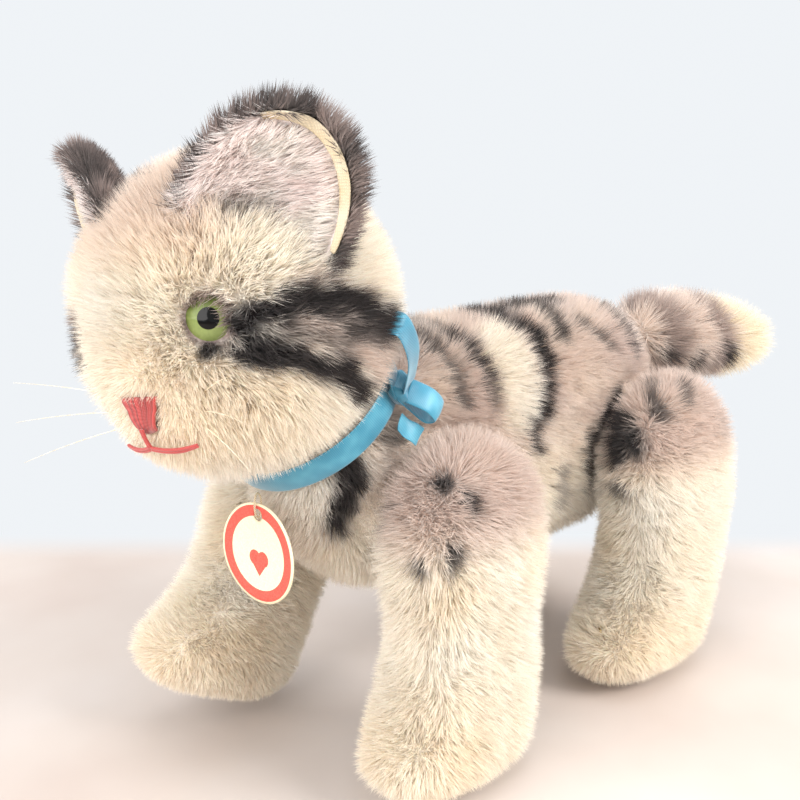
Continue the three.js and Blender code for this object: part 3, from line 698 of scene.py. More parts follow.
def face_shorn(points):
    """1 at the nose, where the pile is clipped short, falling to 0 over the cheeks."""
    mm = head_local(points) / MM
    around = np.linalg.norm((mm - [0, 31, -17]) * [0.85, 1, 1], axis=1)
    return 1 - smooth(around, 7, 24)


def head_depth(points, normals):
    return between(0.75 * face_shorn(points))


def round_the_eye(mm):
    """Distance over the face from the middle of the nearer eye, in millimetres."""
    eye = np.array([EYE["side"], EYE["forward"], EYE["up"]]) / MM
    look = np.stack([np.abs(mm[:, 0]), mm[:, 1], mm[:, 2]], 1)
    return np.linalg.norm(unit(look) - unit(eye), axis=1) * 34


def head_lengths(mm, shorn, eye, over, clear):
    """Strand lengths: clipped round the nose and eyes, none on the glass or the nose pad."""
    left, forward, up = np.abs(mm[:, 0]), mm[:, 1], mm[:, 2]
    temple = smooth(left - EYE["side"] / MM, -1, 4)
    short = 0.40 + 0.40 * temple
    length = PILE * (1 - 0.62 * shorn) * (short + (1 - short) * smooth(eye, 5, 11))
    length = length * (0.4 + 0.6 * clear)
    length = np.where(eye < 5.1 - 1.3 * over, 0, length)
    pad = (left < 5.4 + (up + 14) * 0.5) & (up < -13.4) & (up > -20.6) & (forward > 20)
    return np.where(pad, 0, length)


def head_comb(mm, shorn, over):
    """The lay of the pile: away from the nose, but towards the eye over its outer corner."""
    away = unit(mm - np.array([0, 36, -10]))
    comb = away * [1, -1, 1] * (0.34 + 0.3 * shorn)[:, None]
    comb[:, 2] -= 0.10
    look = np.stack([np.abs(mm[:, 0]), mm[:, 1], mm[:, 2]], 1)
    eyeward = np.array([EYE["side"], EYE["forward"], EYE["up"]]) / MM - look
    eyeward[:, 0] *= np.where(mm[:, 0] < 0, -1, 1)
    comb = comb * (1 - over)[:, None] + unit(eyeward) * [1, -1, 1] * (0.45 * over)[:, None]
    return comb @ np.array(HEAD_POSE.to_matrix()).T


def head_colours(points, mm, shorn, eye):
    """Cream, greyer over the crown and behind the cheek, painted shade in brown round the eyes, then
    striped.
    """
    left, forward, up = np.abs(mm[:, 0]), mm[:, 1], mm[:, 2]
    ground = cream_ground(points)
    crown = smooth(up, 8, 26) * smooth(forward, 2, 14) * (1 - smooth(left, 12, 26))
    back = smooth(up, 14, 32) * (1 - smooth(forward, 0, 10))
    ground = mix(ground, TINT, 0.50 * np.maximum(crown * 0.8, back))
    ground = mix(ground, WARM, 0.35 * shorn)
    # painted shade: a brown rim round each eye, darkest at the glass and gone by 6.4 mm from its
    # middle
    ground = mix(ground, BROWN, 0.8 * (1 - smooth(eye, 5.2, 6.4)))
    look = np.stack([left, forward, up], 1)
    grey = stroke(look, [(33, 12, -1), (35, 1, -5), (31, -12, -12)], 8.5, 0.55)
    return dyed(mix(ground, TINT, grey), mm, HEAD_STROKES)


def head_coat(points, normals):
    mm = head_local(points) / MM
    shorn = face_shorn(points)
    eye = round_the_eye(mm)
    clear = near_ribbon(points + np.array(NECK_AXIS) * -5 * MM)
    outward = np.abs(mm[:, 0]) - EYE["side"] / MM
    over = (1 - smooth(eye, 6, 11)) * smooth(outward + 1.2 * (mm[:, 2] - 1.5), 0, 5)
    length = head_lengths(mm, shorn, eye, over, clear)
    return length, head_comb(mm, shorn, over), head_colours(points, mm, shorn, eye)


def leg_side(leg):
    return LEFT if leg.startswith("left") else RIGHT


def leg_upright(leg):
    """The turn that takes a leg from its rest pose back to hanging straight down."""
    stride = STRIDE if leg == "right_front" else 0
    return np.array(Matrix.Rotation(stride, 3, "X"))


def leg_pressed(leg):
    """Says where a leg's inner face is held against the flank."""
    def pressed(points, normals):
        return held(points, -leg_side(leg) * normals[:, 0], leg_pivot(leg), 20 * MM, 30 * MM)

    return pressed


def leg_depth(points, normals, pressed):
    """As deep as standing pile, but less over the tight curves of the foot and ankle."""
    foot = (1 - smooth(points[:, 2], 28 * MM, 44 * MM)) * smooth(normals[:, 2], -0.5, 0)
    return between(pressed(points, normals)) - FOOT_RISE * foot


def leg_coat(leg):
    """The coat of one leg, whose marks are placed as if it hung straight down."""
    pivot = leg_pivot(leg)
    upright = leg_upright(leg)
    marks = FORELEG_STROKES if "front" in leg else HINDLEG_STROKES
    pressed = leg_pressed(leg)

    def coat(points, normals):
        straight = (points - pivot) @ upright.T + pivot
        mm = straight / MM
        inside = smooth(-leg_side(leg) * normals[:, 0], 0.2, 0.8)
        sole = 1 - smooth(mm[:, 2], 3, 10)
        length = PILE * (1 - 0.85 * pressed(points, normals)) * (1 - 0.2 * inside)
        length = length * (1 - 0.45 * sole) * (0.86 + 0.14 * smooth(mm[:, 2], 20, 60))
        ground = mix(cream_ground(points), TINT, 0.62 * smooth(mm[:, 2], 60, 78))
        ground = mix(ground, WARM, 0.30 * (1 - smooth(mm[:, 2], 6, 40)))
        comb = down(points, 0.20) @ upright
        return length, comb, dyed(ground, mm, marks)

    return coat


# ---- materials ----------------------------------------------------------------------------

def put(tree, sockets, **inputs):
    """Sets inputs by name, with _ for a space: each to a value, or linked to a node's output."""
    for word, value in inputs.items():
        socket = sockets.inputs[word.replace("_", " ")]
        if isinstance(value, bpy.types.NodeSocket):
            tree.links.new(value, socket)
        else:
            socket.default_value = value


def add_node(tree, kind, **inputs):
    node = tree.nodes.new(f"ShaderNode{kind}")
    put(tree, node, **inputs)
    return node


def new_material(name, **inputs):
    """A material, its node tree and its main shader, with these inputs of the shader."""
    material = bpy.data.materials.new(name)
    material.use_nodes = True
    tree = material.node_tree
    shader = tree.nodes["Principled BSDF"]
    put(tree, shader, **inputs)
    return material, tree, shader


def own_space(tree):
    """The piece's own space, in metres."""
    return add_node(tree, "TexCoord").outputs["Object"]


def noise_texture(tree, scale, detail=2.0):
    """A noise pattern, in features per metre."""
    return add_node(
        tree, "TexNoise", Vector=own_space(tree), Scale=scale, Detail=detail).outputs["Fac"]


def wave_texture(tree, scale, axis, distortion=0.0):
    """A pattern of bands across an axis."""
    node = add_node(tree, "TexWave", Vector=own_space(tree), Scale=scale, Distortion=distortion)
    node.bands_direction = axis
    return node.outputs["Fac"]


def ramp(tree, factor, stops):
    """A colour ramp over a factor: (place, linear colour) pairs."""
    node = add_node(tree, "ValToRGB", Fac=factor)
    while len(node.color_ramp.elements) < len(stops):
        node.color_ramp.elements.new(0.5)
    for element, (place, colour) in zip(node.color_ramp.elements, stops):
        element.position = place
        element.color = (*colour, 1)
    return node.outputs["Color"]


def bump(tree, shader, height, strength, distance):
    node = add_node(tree, "Bump", Height=height, Strength=strength, Distance=distance)
    put(tree, shader, Normal=node.outputs["Normal"])


def mixed_colour(tree, factor, first, second, blend="MIX"):
    node = add_node(tree, "Mix")
    node.data_type = "RGBA"
    node.blend_type = blend
    put(tree, node, Factor=factor)
    tree.links.new(first, node.inputs[6])
    tree.links.new(second, node.inputs[7])
    return node.outputs[2]


def mixed_surface(tree, factor, first, second):
    """Makes the surface a mix of two shaders."""
    both = add_node(tree, "MixShader", Fac=factor)
    tree.links.new(first.outputs[0], both.inputs[1])
    tree.links.new(second.outputs[0], both.inputs[2])
    put(tree, tree.nodes["Material Output"], Surface=both.outputs[0])


def tinted(tree, colour, factor, low, high):
    """A colour made lighter and darker by a 0-1 factor."""
    scale = add_node(tree, "MapRange", Value=factor, To_Min=low, To_Max=high)
    return mixed_colour(tree, 1, colour, scale.outputs["Result"], "MULTIPLY")


def math_node(tree, operation, a, b=None):
    node = add_node(tree, "Math")
    node.operation = operation
    for socket, value in zip(node.inputs, (a, b)):
        if isinstance(value, (int, float)):
            socket.default_value = value
        elif value is not None:
            tree.links.new(value, socket)
    return node.outputs[0]


def strand_colour(tree):
    node = add_node(tree, "Attribute")
    node.attribute_name = "strand"
    return node.outputs["Color"]


def two_tone(tree, factor, low, deep, high, bright):
    """A ramp from a deep to a bright screen colour."""
    return ramp(tree, factor, ((low, linear(*deep)), (high, linear(*bright))))


def weave(tree, scale, distortion):
    """The height of a plain weave: crossed waves."""
    weft = wave_texture(tree, scale, "X", distortion)
    warp = wave_texture(tree, scale, "Z", distortion)
    return math_node(tree, "MULTIPLY", weft, warp)


def mohair_material(name, light_through=0.38):
    """Mohair strands: their own dyed colours, slightly uneven, silky, with light through them."""
    material, tree, shader = new_material(
        name, Roughness=0.62, Specular_IOR_Level=0.35, Sheen_Weight=0.25, Sheen_Roughness=0.4)
    colour = tinted(tree, strand_colour(tree), noise_texture(tree, 700), 0.92, 1.08)
    put(tree, shader, Base_Color=colour)
    through = add_node(tree, "BsdfTranslucent", Color=colour)
    mixed_surface(tree, light_through, shader, through)
    return material


def backing_material():
    """The woven cotton backing that the pile stands in, dyed with it."""
    material, tree, shader = new_material("woven_backing", Roughness=0.95)
    cross = weave(tree, 420, 1.0)
    put(tree, shader, Base_Color=tinted(tree, strand_colour(tree), cross, 0.84, 1.0))
    bump(tree, shader, cross, 0.5, 0.0003)
    return material


def selvage_material():
    """Plain woven cream cotton, a little yellowed."""
    material, tree, shader = new_material("ear_selvage", Roughness=0.9)
    cross = weave(tree, 520, 1.5)
    colour = two_tone(tree, noise_texture(tree, 160), 0.3, (216, 196, 156), 0.7, (232, 220, 196))
    put(tree, shader, Base_Color=tinted(tree, colour, cross, 0.84, 1.05))
    bump(tree, shader, cross, 0.5, 0.0002)
    return material


def satin_material():
    """Turquoise satin ribbon, with fine crosswise ribs and a soft shine."""
    material, tree, shader = new_material(
        "ribbon_satin", Roughness=0.36, Sheen_Weight=0.5, Anisotropic=0.5)
    rib = wave_texture(tree, 900, "DIAGONAL", 0.4)
    colour = ramp(tree, noise_texture(tree, 120), (
        (0.3, linear(34, 118, 146)),
        (0.55, linear(50, 138, 166)),
        (0.75, linear(84, 164, 188)),
    ))
    put(tree, shader, Base_Color=tinted(tree, colour, rib, 0.9, 1.04))
    bump(tree, shader, rib, 0.25, 0.0001)
    return material


def thread_material(name, deep, bright, shaded=False):
    """Stranded cotton: a twist of darker and lighter plies. Shaded threads are each their own."""
    material, tree, shader = new_material(name, Roughness=0.55, Sheen_Weight=0.4)
    twist = wave_texture(tree, 1100, "DIAGONAL", 2.0)
    colour = two_tone(tree, twist, 0.15, deep, 0.8, bright)
    if shaded:
        colour = tinted(tree, colour, strand_colour(tree), 0.0, 1.0)
    put(tree, shader, Base_Color=colour)
    bump(tree, shader, twist, 0.4, 0.00015)
    return material


def glass_eye_material():
    """A clear coat over the iris and pupil, whose colours come from the vertices, streaked."""
    material, tree, shader = new_material(
        "glass_eye", Roughness=0.12, Coat_Weight=0.4, Coat_Roughness=0.02, Coat_IOR=1.42,
        Specular_IOR_Level=0.1)
    streak = noise_texture(tree, 1400, 3.0)
    put(tree, shader, Base_Color=tinted(tree, strand_colour(tree), streak, 0.8, 1.2))
    return material


def grained_material(name, texture, deep, bright, relief, **inputs):
    """A material in two tones. texture makes its pattern, relief is its bump's strength, depth."""
    material, tree, shader = new_material(name, **inputs)
    pattern = texture(tree)
    put(tree, shader, Base_Color=two_tone(tree, pattern, *deep, *bright))
    if relief:
        bump(tree, shader, pattern, *relief)
    return material


def steel_material():
    return grained_material(
        "steel_wire", lambda tree: noise_texture(tree, 900, 4.0),
        (0.35, (120, 116, 110)), (0.65, (186, 186, 184)), (0.1, 0.0001),
        Roughness=0.38, Metallic=1.0)


def board_material():
    return grained_material(
        "pressed_fibreboard", lambda tree: noise_texture(tree, 1600, 5.0),
        (0.3, (126, 98, 66)), (0.7, (182, 152, 112)), (0.4, 0.0002), Roughness=0.9)


def wool_material():
    """Wood wool stuffing: pale straw shavings."""
    return grained_material(
        "wood_wool", lambda tree: wave_texture(tree, 260, "DIAGONAL", 14.0),
        (0.2, (160, 128, 72)), (0.8, (226, 202, 142)), (0.8, 0.0006), Roughness=0.9)


def hair_material():
    return grained_material(
        "whisker_hair", lambda tree: noise_texture(tree, 500),
        (0.3, (222, 204, 168)), (0.7, (250, 242, 224)), None, Roughness=0.35)


def distance_from(tree, x, y, across, up):
    """How far a chart place is from (across, up)."""
    squares = [
        math_node(tree, "POWER", math_node(tree, "SUBTRACT", x, across), 2.0),
        math_node(tree, "POWER", math_node(tree, "SUBTRACT", y, up), 2.0),
    ]
    return math_node(tree, "SQRT", math_node(tree, "ADD", *squares))


def printed_heart(tree, x, y):
    """1 inside a small heart: two lobes over a point. x is the distance from its middle line."""
    lobes = math_node(tree, "LESS_THAN", distance_from(tree, x, y, 0.115, -0.10), 0.155)
    slope = math_node(tree, "ADD", x, math_node(tree, "MULTIPLY", y, -0.80))
    point = math_node(tree, "MULTIPLY",
                      math_node(tree, "LESS_THAN", slope, 0.37),
                      math_node(tree, "LESS_THAN", y, -0.13))
    return math_node(tree, "MAXIMUM", lobes, point)


def card_material():
    """Printed card: a cream middle, a coral border and a small coral heart."""
    material, tree, shader = new_material("tag_card", Roughness=0.55)
    place = add_node(tree, "UVMap")
    place.uv_map = "card"
    split = add_node(tree, "SeparateXYZ", Vector=place.outputs["UV"])
    x = math_node(tree, "ABSOLUTE", split.outputs[0])
    y = split.outputs[1]
    from_middle = distance_from(tree, x, y, 0.0, 0.0)
    border = math_node(tree, "MULTIPLY",
                       math_node(tree, "GREATER_THAN", from_middle, 0.74),
                       math_node(tree, "LESS_THAN", from_middle, 0.955))
    printed = math_node(tree, "MAXIMUM", border, printed_heart(tree, x, y))
    grain = noise_texture(tree, 2500, 3.0)
    card = two_tone(tree, grain, 0.3, (244, 226, 186), 0.7, (252, 240, 210))
    ink = two_tone(tree, grain, 0.3, (214, 74, 62), 0.7, (236, 104, 88))
    put(tree, shader, Base_Color=mixed_colour(tree, printed, card, ink))
    bump(tree, shader, grain, 0.15, 0.0001)
    return material


MOHAIR = mohair_material("mohair_pile")
EAR_PLUSH = mohair_material("ear_plush_pile", 0.42)
BACKING = backing_material()
SATIN = satin_material()
NOSE_THREAD = thread_material("coral_thread", (170, 44, 44), (214, 86, 78), True)
COTTON = thread_material("natural_cotton", (176, 152, 112), (232, 216, 184))
SELVAGE = selvage_material()
EYE_GLASS = glass_eye_material()
STEEL = steel_material()
BOARD = board_material()
WOOL = wool_material()
HAIR = hair_material()
CARD = card_material()

HIDDEN_LOOKS = {"stuffing": WOOL, "fibreboard": BOARD, "steel_wire": STEEL}


def dress_hidden_nodes():
    """The joint hardware and stuffing keep their CAD shapes and get real materials."""
    slots = {entry["node"]: entry["material_slot"] for entry in RECORD["subparts"]}
    for node, ob in frame["nodes"].items():
        look = HIDDEN_LOOKS.get(slots[node])
        if look is None:
            continue
        for place in ob.material_slots:
            place.link = "OBJECT"
            place.material = look


# ---- stuffed pieces -----------------------------------------------------------------------

def furred(name, body, coat, depth, seed, voxel=3.0 * MM, rounds=2, density=1.0):
    """One stuffed piece: its woven skin and the pile standing on it."""
    cover = f"{name}_cover"
    nodes = [cover, f"{name}_stuffing"]
    if name == "head":
        nodes += ["left_eye_glass", "right_eye_glass"]
    skin = stuffed_skin(f"{name}_skin", nodes, depth, voxel, rounds)
    skin.data.materials.append(BACKING)
    points, normals = coordinates(skin.data), vertex_normals(skin.data)
    paint(skin.data, coat(points + normals * depth(points, normals)[:, None], normals)[2] * 0.96)
    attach(skin, body)
    stands_for(cover)
    fur = pile(f"{name}_pile", skin, body, coat, depth, MOHAIR, seed, density)


def make_body():
    furred("torso", "torso", torso_coat, torso_depth, 11)
    furred("tail", "torso", tail_coat, evenly, 12, 2.4 * MM, 2)
    for i, leg in enumerate(LEGS):
        pressed = leg_pressed(leg)
        furred(f"{leg}_leg", f"{leg}_leg", leg_coat(leg),
               lambda points, normals, pressed=pressed: leg_depth(points, normals, pressed), 20 + i)


# ---- ears ---------------------------------------------------------------------------------

def ear_frame(side):
    """Base middle, base direction, upward and facing directions of one ear."""
    inner = head_point(side * 11.5 * MM, 18.5 * MM, 30 * MM)
    outer = head_point(side * 32.5 * MM, 1 * MM, 10 * MM)
    tip = head_point(side * 29 * MM, 12 * MM, 43 * MM)
    base = (inner + outer) / 2
    along = (outer - inner).normalized()
    rise = tip - base
    rise = (rise - along * rise.dot(along)).normalized()
    facing = along.cross(rise) * side
    return base, along, rise, facing.normalized()


def ear_point(side, across, up, offset):
    """A point on an ear's cupped mid surface, or offset to its front."""
    base, along, rise, facing = ear_frame(side)
    t = up / EAR["height"]
    reach = EAR["width"] / 2 * math.sqrt(max(1 - max(t, 0) ** 2.4, 0.01))
    s = min(max(across / reach, -1), 1)
    hollow = EAR["cup"] * (s * s * (1 - 0.4 * t) + 0.25 * t * t)
    return base + along * across + rise * up + facing * (hollow + offset)


EAR_ACROSS, EAR_UP = 28, 20    # points over an ear's cloth
EAR_LOW, EAR_SPAN = -0.25, 1.235   # where that cloth starts, and its height, in ear heights


def ear_sheet(side, offset, shrink):
    """A cupped half-round sheet of points, row by row from one base corner to the other."""
    points = []
    for i in range(EAR_ACROSS):
        s = spread(i, EAR_ACROSS)
        for j in range(EAR_UP):
            t = EAR_LOW + EAR_SPAN * j / (EAR_UP - 1)
            reach = (EAR["width"] / 2 - shrink) * math.sqrt(1 - max(t, 0) ** 2.4)
            points.append(ear_point(side, s * reach, t * (EAR["height"] - shrink), offset))
    return points


def ear_cloth(name, side, offset, shrink, thick, node, colour):
    """One layer of ear cloth, with its back and rim, dyed one colour."""
    across, up = EAR_ACROSS, EAR_UP
    facing = ear_frame(side)[3]
    front = ear_sheet(side, offset + thick, shrink)
    back = [p - facing * thick for p in front]
    faces = grid_faces(across, up)
    count = len(front)
    faces += [tuple(count + k for k in reversed(face)) for face in faces]
    rim = [i * up for i in range(across)] + [(across - 1) * up + j for j in range(1, up)]
    rim += [i * up + up - 1 for i in range(across - 2, -1, -1)] + list(range(up - 2, 0, -1))
    for a, b in zip(rim, rim[1:] + rim[:1]):
        faces.append((b, a, count + a, count + b))
    ob = make(name, front + back, faces, BACKING, "head")
    face_outward(ob)
    stands_for(node)
    paint(ob.data, all_over(ob.data.vertices, colour))
    return ob


def flat(points, normals):
    return np.zeros(len(points))


def above_skull(points):
    """Which ear roots stand clear of the skull's own pile."""
    local = head_local(points) / np.array(SKULL)
    return np.linalg.norm(local, axis=1) > 0.93


def ear_place(side, points):
    """Across and up the ear as shares of its size, the edge at 1, and how far in front."""
    base, along, rise, facing = (np.array(v) for v in ear_frame(side))
    across = ((points - base) @ along) / (EAR["width"] / 2)
    height = ((points - base) @ rise) / EAR["height"]
    reach = np.sqrt(np.maximum(1 - np.clip(height, 0, 1) ** 2.4, 0.01))
    curl = np.clip(across / reach, -1, 1)
    hollow = EAR["cup"] * (curl ** 2 * (1 - 0.4 * height) + 0.25 * height ** 2)
    edge = np.sqrt(across ** 2 + np.clip(height, 0, 1) ** 2.4)
    return across, edge, (points - base) @ facing - hollow


def ear_back_coat(side):
    """Dark mottled mohair over the back of an ear and its rim."""
    rise = np.array(ear_frame(side)[2])

    def coat(points, normals):
        edge, ahead = ear_place(side, points)[1:]
        behind = (ahead < -0.7 * MM) | (edge > 0.94)
        length = np.where(behind & above_skull(points), PILE * 0.85, 0)
        mottle = smooth(PATCHES.at(points, 3 * MM)[:, 2], -0.2, 0.5)
        colour = mix(all_over(points, DARK), TINT, 0.10 + 0.40 * mottle)
        return length, all_over(points, rise * 0.75), colour

    return coat


def ear_lining_coat(side):
    """Pale pink plush inside an ear, which leaves a bare band along the outer edge."""
    along, rise, facing = (np.array(v) for v in ear_frame(side)[1:])

    def coat(points, normals):
        front = (normals @ facing) > 0.35
        across, edge = ear_place(side, points)[:2]
        bare = (edge > 0.85) & (across > -0.35)
        length = PILE * (1.0 - 0.25 * smooth(edge, 0.3, 0.8))
        length = np.where(front & above_skull(points) & ~bare, length, 0)
        pink = smooth(PATCHES.at(points, 5 * MM)[:, 0] + 0.5 - 0.5 * across, -0.1, 0.9)
        colour = mix(all_over(points, CREAM), EAR_PINK, 0.35 + 0.65 * pink)
        return length, all_over(points, rise * -0.45 - along * 0.55), colour

    return coat


def make_ear(word, side):
    """The back and lining of one ear, the pile on each, and the bare band between them."""
    back = ear_cloth(f"{word}_ear_back_skin", side, -1.6 * MM, 0.6 * MM, 1.4 * MM,
                     f"{word}_ear_back", DARK * 1.4)
    lining = ear_cloth(f"{word}_ear_lining_skin", side, 0.1 * MM, 1.4 * MM, 0.7 * MM,
                       f"{word}_ear_lining", EAR_PINK)
    fur = pile(f"{word}_ear_back_pile", back, "head", ear_back_coat(side), flat, MOHAIR,
               31 + side, 2.2)
    plush = pile(f"{word}_ear_lining_pile", lining, "head", ear_lining_coat(side), flat, EAR_PLUSH,
                 41 + side, 1.5)
    make_ear_seam(word, side)


def make_ear_seam(word, side):
    """The woven cream selvage that shows as a flat band inside the ear's outer edge."""
    steps, wide = 40, 4
    points = []
    for k in range(steps):
        angle = math.pi * (0.30 + 0.68 * k / (steps - 1))
        band = 2.9 * math.sin(math.pi * (0.06 + 0.88 * k / (steps - 1))) ** 0.5
        for j in range(wide):
            margin = (0.7 + band * j / (wide - 1)) * MM
            across = -math.cos(angle) * (EAR["width"] / 2 - margin)
            up = math.sin(angle) ** 0.83 * (EAR["height"] - margin)
            lift = (1.5 - 0.4 * j / (wide - 1)) * MM
            points.append(ear_point(side, across, up, lift))
    seam = make(f"{word}_ear_seam", points, grid_faces(steps, wide), SELVAGE, "head")
    thicken(seam, 0.5 * MM)


# ---- face ---------------------------------------------------------------------------------

PUPIL_RING, IRIS_RING = 0.43, 0.9   # where pupil and iris end, as shares of the eye's radius


def make_eye(word, side):
    """A flattened glass dome, its iris and pupil painted in rings, closed by a shallow cone."""
    middle = head_point(side * EYE["side"], EYE["forward"], EYE["up"])
    out = (HEAD_POSE @ Vector((side * EYE["side"], -EYE["forward"], EYE["up"]))).normalized()
    across = out.cross(Vector((0, 0, 1))).normalized()
    up = across.cross(out)
    rings = [0, 0.2, 0.34, 0.42, 0.435, 0.6, 0.7, 0.8, 0.88, 0.93, 0.96, 1.0]
    pupil, iris, edge = linear(2, 2, 2), linear(112, 128, 66), linear(66, 76, 38)
    pale = linear(146, 158, 98)
    sides = 40
    verts, shades = [], []
    for ring in rings:
        height = EYE["depth"] * math.sqrt(max(1 - ring * ring, 0)) - 0.3 * MM
        for k in range(sides):
            angle = turn_at(k, sides)
            way = across * math.cos(angle) + up * math.sin(angle)
            verts.append(middle + way * (EYE["radius"] * ring) + out * height)
            if ring < PUPIL_RING:
                shades.append(pupil)
            elif ring < IRIS_RING:
                # painted shade: the iris is painted darker towards its top and paler towards its
                # bottom
                shades.append(iris + (pale - iris) * (0.5 - 0.5 * math.sin(angle)) * 0.7)
            else:
                shades.append(edge)
    faces = grid_faces(len(rings), sides, close_columns=True)
    back = len(verts)
    verts.append(middle - out * 1.6 * MM)
    shades.append(edge)
    last = (len(rings) - 1) * sides
    faces += [(last + k, last + (k + 1) % sides, back) for k in range(sides)]
    faces = [tuple(reversed(face)) for face in faces]
    eye = make(f"{word}_eye", verts, faces, EYE_GLASS, "head")
    paint(eye.data, np.array(shades))
    stands_for(f"{word}_eye_glass")


def paint_threads(mesh, count, each):
    """Gives every thread of an embroidery its own depth of shade."""
    shades = np.random.default_rng(7).uniform(0.62, 1.0, count)
    shades[::3] *= 0.72
    paint(mesh, np.repeat(shades, each)[:, None] * np.ones(3))


def make_nose():
    """Upright satin stitches side by side, wide above and narrow below."""
    top, bottom, count, along, sides = -13.2 * MM, -20.6 * MM, 17, 9, 7
    paths = []
    for i in range(count):
        s = spread(i, count)
        path = []
        for k in range(along):
            t = k / (along - 1)
            left = s * (5.3 * MM * (1 - t) + 2.3 * MM * t)
            up = top + (bottom - top) * t - 0.5 * MM * (1 - s * s) * t
            lift = -0.9 * MM + 0.9 * MM * math.sin(math.pi * t) ** 0.5
            path.append(on_face(left, up, lift))
        paths.append(path)
    verts, faces = tubes(paths, 0.42 * MM, sides)
    nose = make("nose_embroidery", verts, faces, NOSE_THREAD, "head")
    paint_threads(nose.data, count, along * sides)
    stands_for("nose_stitching")


def make_mouth():
    """One doubled thread down from the nose, then two long stitches out to each side."""
    def line(points):
        return curved([on_face(left * MM, up * MM, 0.9 * MM) for left, up in points], 5)

    paths = []
    for shift in (-0.3, 0.3):
        paths.append(line([(shift, -20.0), (shift * 0.6, -22.2), (shift, -24.4)]))
    for side, reach in ((LEFT, 11.6), (RIGHT, 9.0)):
        for drop in (0, 0.55):
            paths.append(line([
                (0, -24.2 - drop),
                (side * reach * 0.32, -24.8 - drop),
                (side * reach * 0.68, -24.8 - drop),
                (side * reach, -24.2 - drop * 0.4),
            ]))
    verts, faces = tubes(paths, 0.38 * MM, 7)
    mouth = make("mouth_embroidery", verts, faces, NOSE_THREAD, "head")
    paint(mouth.data, np.full((len(verts), 3), 0.9))
    stands_for("mouth_stitching")


def make_whiskers():
    """Stiff pale filaments from the cheeks, drooping a little to fine tips."""
    reach, droop, steps = 27 * MM, 2.2 * MM, 12
    for word, side in SIDES:
        for i in range(3):
            row = i - 1
            root = head_point(side * 12 * MM, 26 * MM, (-17.5 - row * 3.2) * MM)
            way = HEAD_POSE @ Vector((side * 0.86, -0.42, 0.08 - row * 0.22)).normalized()
            path = [
                root + way * (reach * k / steps) + Vector((0, 0, -droop * (k / steps) ** 2))
                for k in range(steps + 1)
            ]
            verts, faces = tubes([path], 0.14 * MM, 6, taper=lambda t: 1 - 0.75 * t)
            hair = make(f"{word}_whisker_hair_{i + 1}", verts, faces, HAIR, "head")
            stands_for(f"{word}_whisker_{i + 1}")


def make_head():
    furred("head", "head", head_coat, head_depth, 5, 2.8 * MM, 2, 1.2)
    for word, side in SIDES:
        make_ear(word, side)
        make_eye(word, side)
    make_nose()
    make_mouth()
    make_whiskers()


# ---- ribbon, bow and tag ------------------------------------------------------------------

def thicken(ob, thick):
    """Gives a strip of cloth its thickness and rounds it a little."""
    modified(ob, "SOLIDIFY", thickness=thick, offset=0)
    modified(ob, "SUBSURF", levels=1, render_levels=1)
    applied(ob)
    ob.data.shade_smooth()


def make_neck_ribbon():
    """The band round the neck, drawn in a little and rippled as it follows the pile."""
    around, across = 96, 7
    points = []
    for i in range(around):
        angle = turn_at(i, around)
        ripple = 0.35 * math.sin(5 * angle) + 0.25 * math.sin(11 * angle + 1)
        for j in range(across):
            v = spread(j, across)
            radius = RIBBON["inner"] + (0.5 + 0.3 * ripple - 0.35 * v * v) * MM
            height = -RIBBON["width"] / 2 - 0.3 * MM + v * RIBBON["width"] / 2
            points.append(neck_point(radius, angle, height + 0.3 * ripple * MM))
    faces = grid_faces(around, across, close_rows=True)
    ob = make("neck_ribbon_band", points, faces, SATIN, "torso")
    thicken(ob, RIBBON["thick"])
    stands_for("neck_ribbon")


BOW_ANGLE = math.radians(27)   # where the bow sits round the neck, from the cat's left


def bow_point(out, round_, height):
    """A point by the bow, in millimetres: outward, round the neck, and along its axis."""
    radius = RIBBON["inner"] + (1.1 + out) * MM
    return neck_point(radius, BOW_ANGLE + round_ * MM / radius, (height - 3.5) * MM)


def bow_strip(name, turns, width, node, twist=0.0):
    """A strip of ribbon along a path of (out, round, height) turns in millimetres."""
    path = curved([bow_point(*turn) for turn in turns], 7)
    along = (bow_point(0, 1, 0) - bow_point(0, -1, 0)).normalized()
    across = 5
    points = []
    for i, p in enumerate(path):
        step = step_at(path, i)
        wide = Quaternion(step, twist * i / len(path)) @ along
        for j in range(across):
            v = spread(j, across)
            curl = step.cross(wide) * (0.35 * MM * v * v)
            points.append(p + wide * (v * width / 2 * MM) + curl)
    ob = make(name, points, grid_faces(len(path), across), SATIN, "torso")
    thicken(ob, RIBBON["thick"])
    stands_for(node)


def loop_turns(way, reach, splay):
    """The turns of one flattened loop, out from the knot and back."""
    shape = ((1.2, -0.2, 0), (1.2, 0.3, 0.3), (1.2, 0.86, 0.7), (2.6, 1.02, 0.95),
             (4.4, 0.9, 1.0), (4.8, 0.4, 0.7), (3.2, -0.15, 0.1))
    return [(out + splay * spread, 0, way * (2.4 + reach * far)) for out, far, spread in shape]


def make_bow():
    bow_strip("bow_upper_loop_strip", loop_turns(1, 16.5, 7.0), 7, "bow_upper_loop", 0.25)
    bow_strip("bow_lower_loop_strip", loop_turns(-1, 8.5, 3.5), 7, "bow_lower_loop", -0.25)
    tail = [(1.4, -6.6, -4.6), (2.0, -6.8, -7.0), (2.9, -6.4, -9.4), (3.2, -6.0, -11.6)]
    bow_strip("bow_tail_strip", tail, 5.6, "bow_tail", 0.3)
    make_bow_knot()


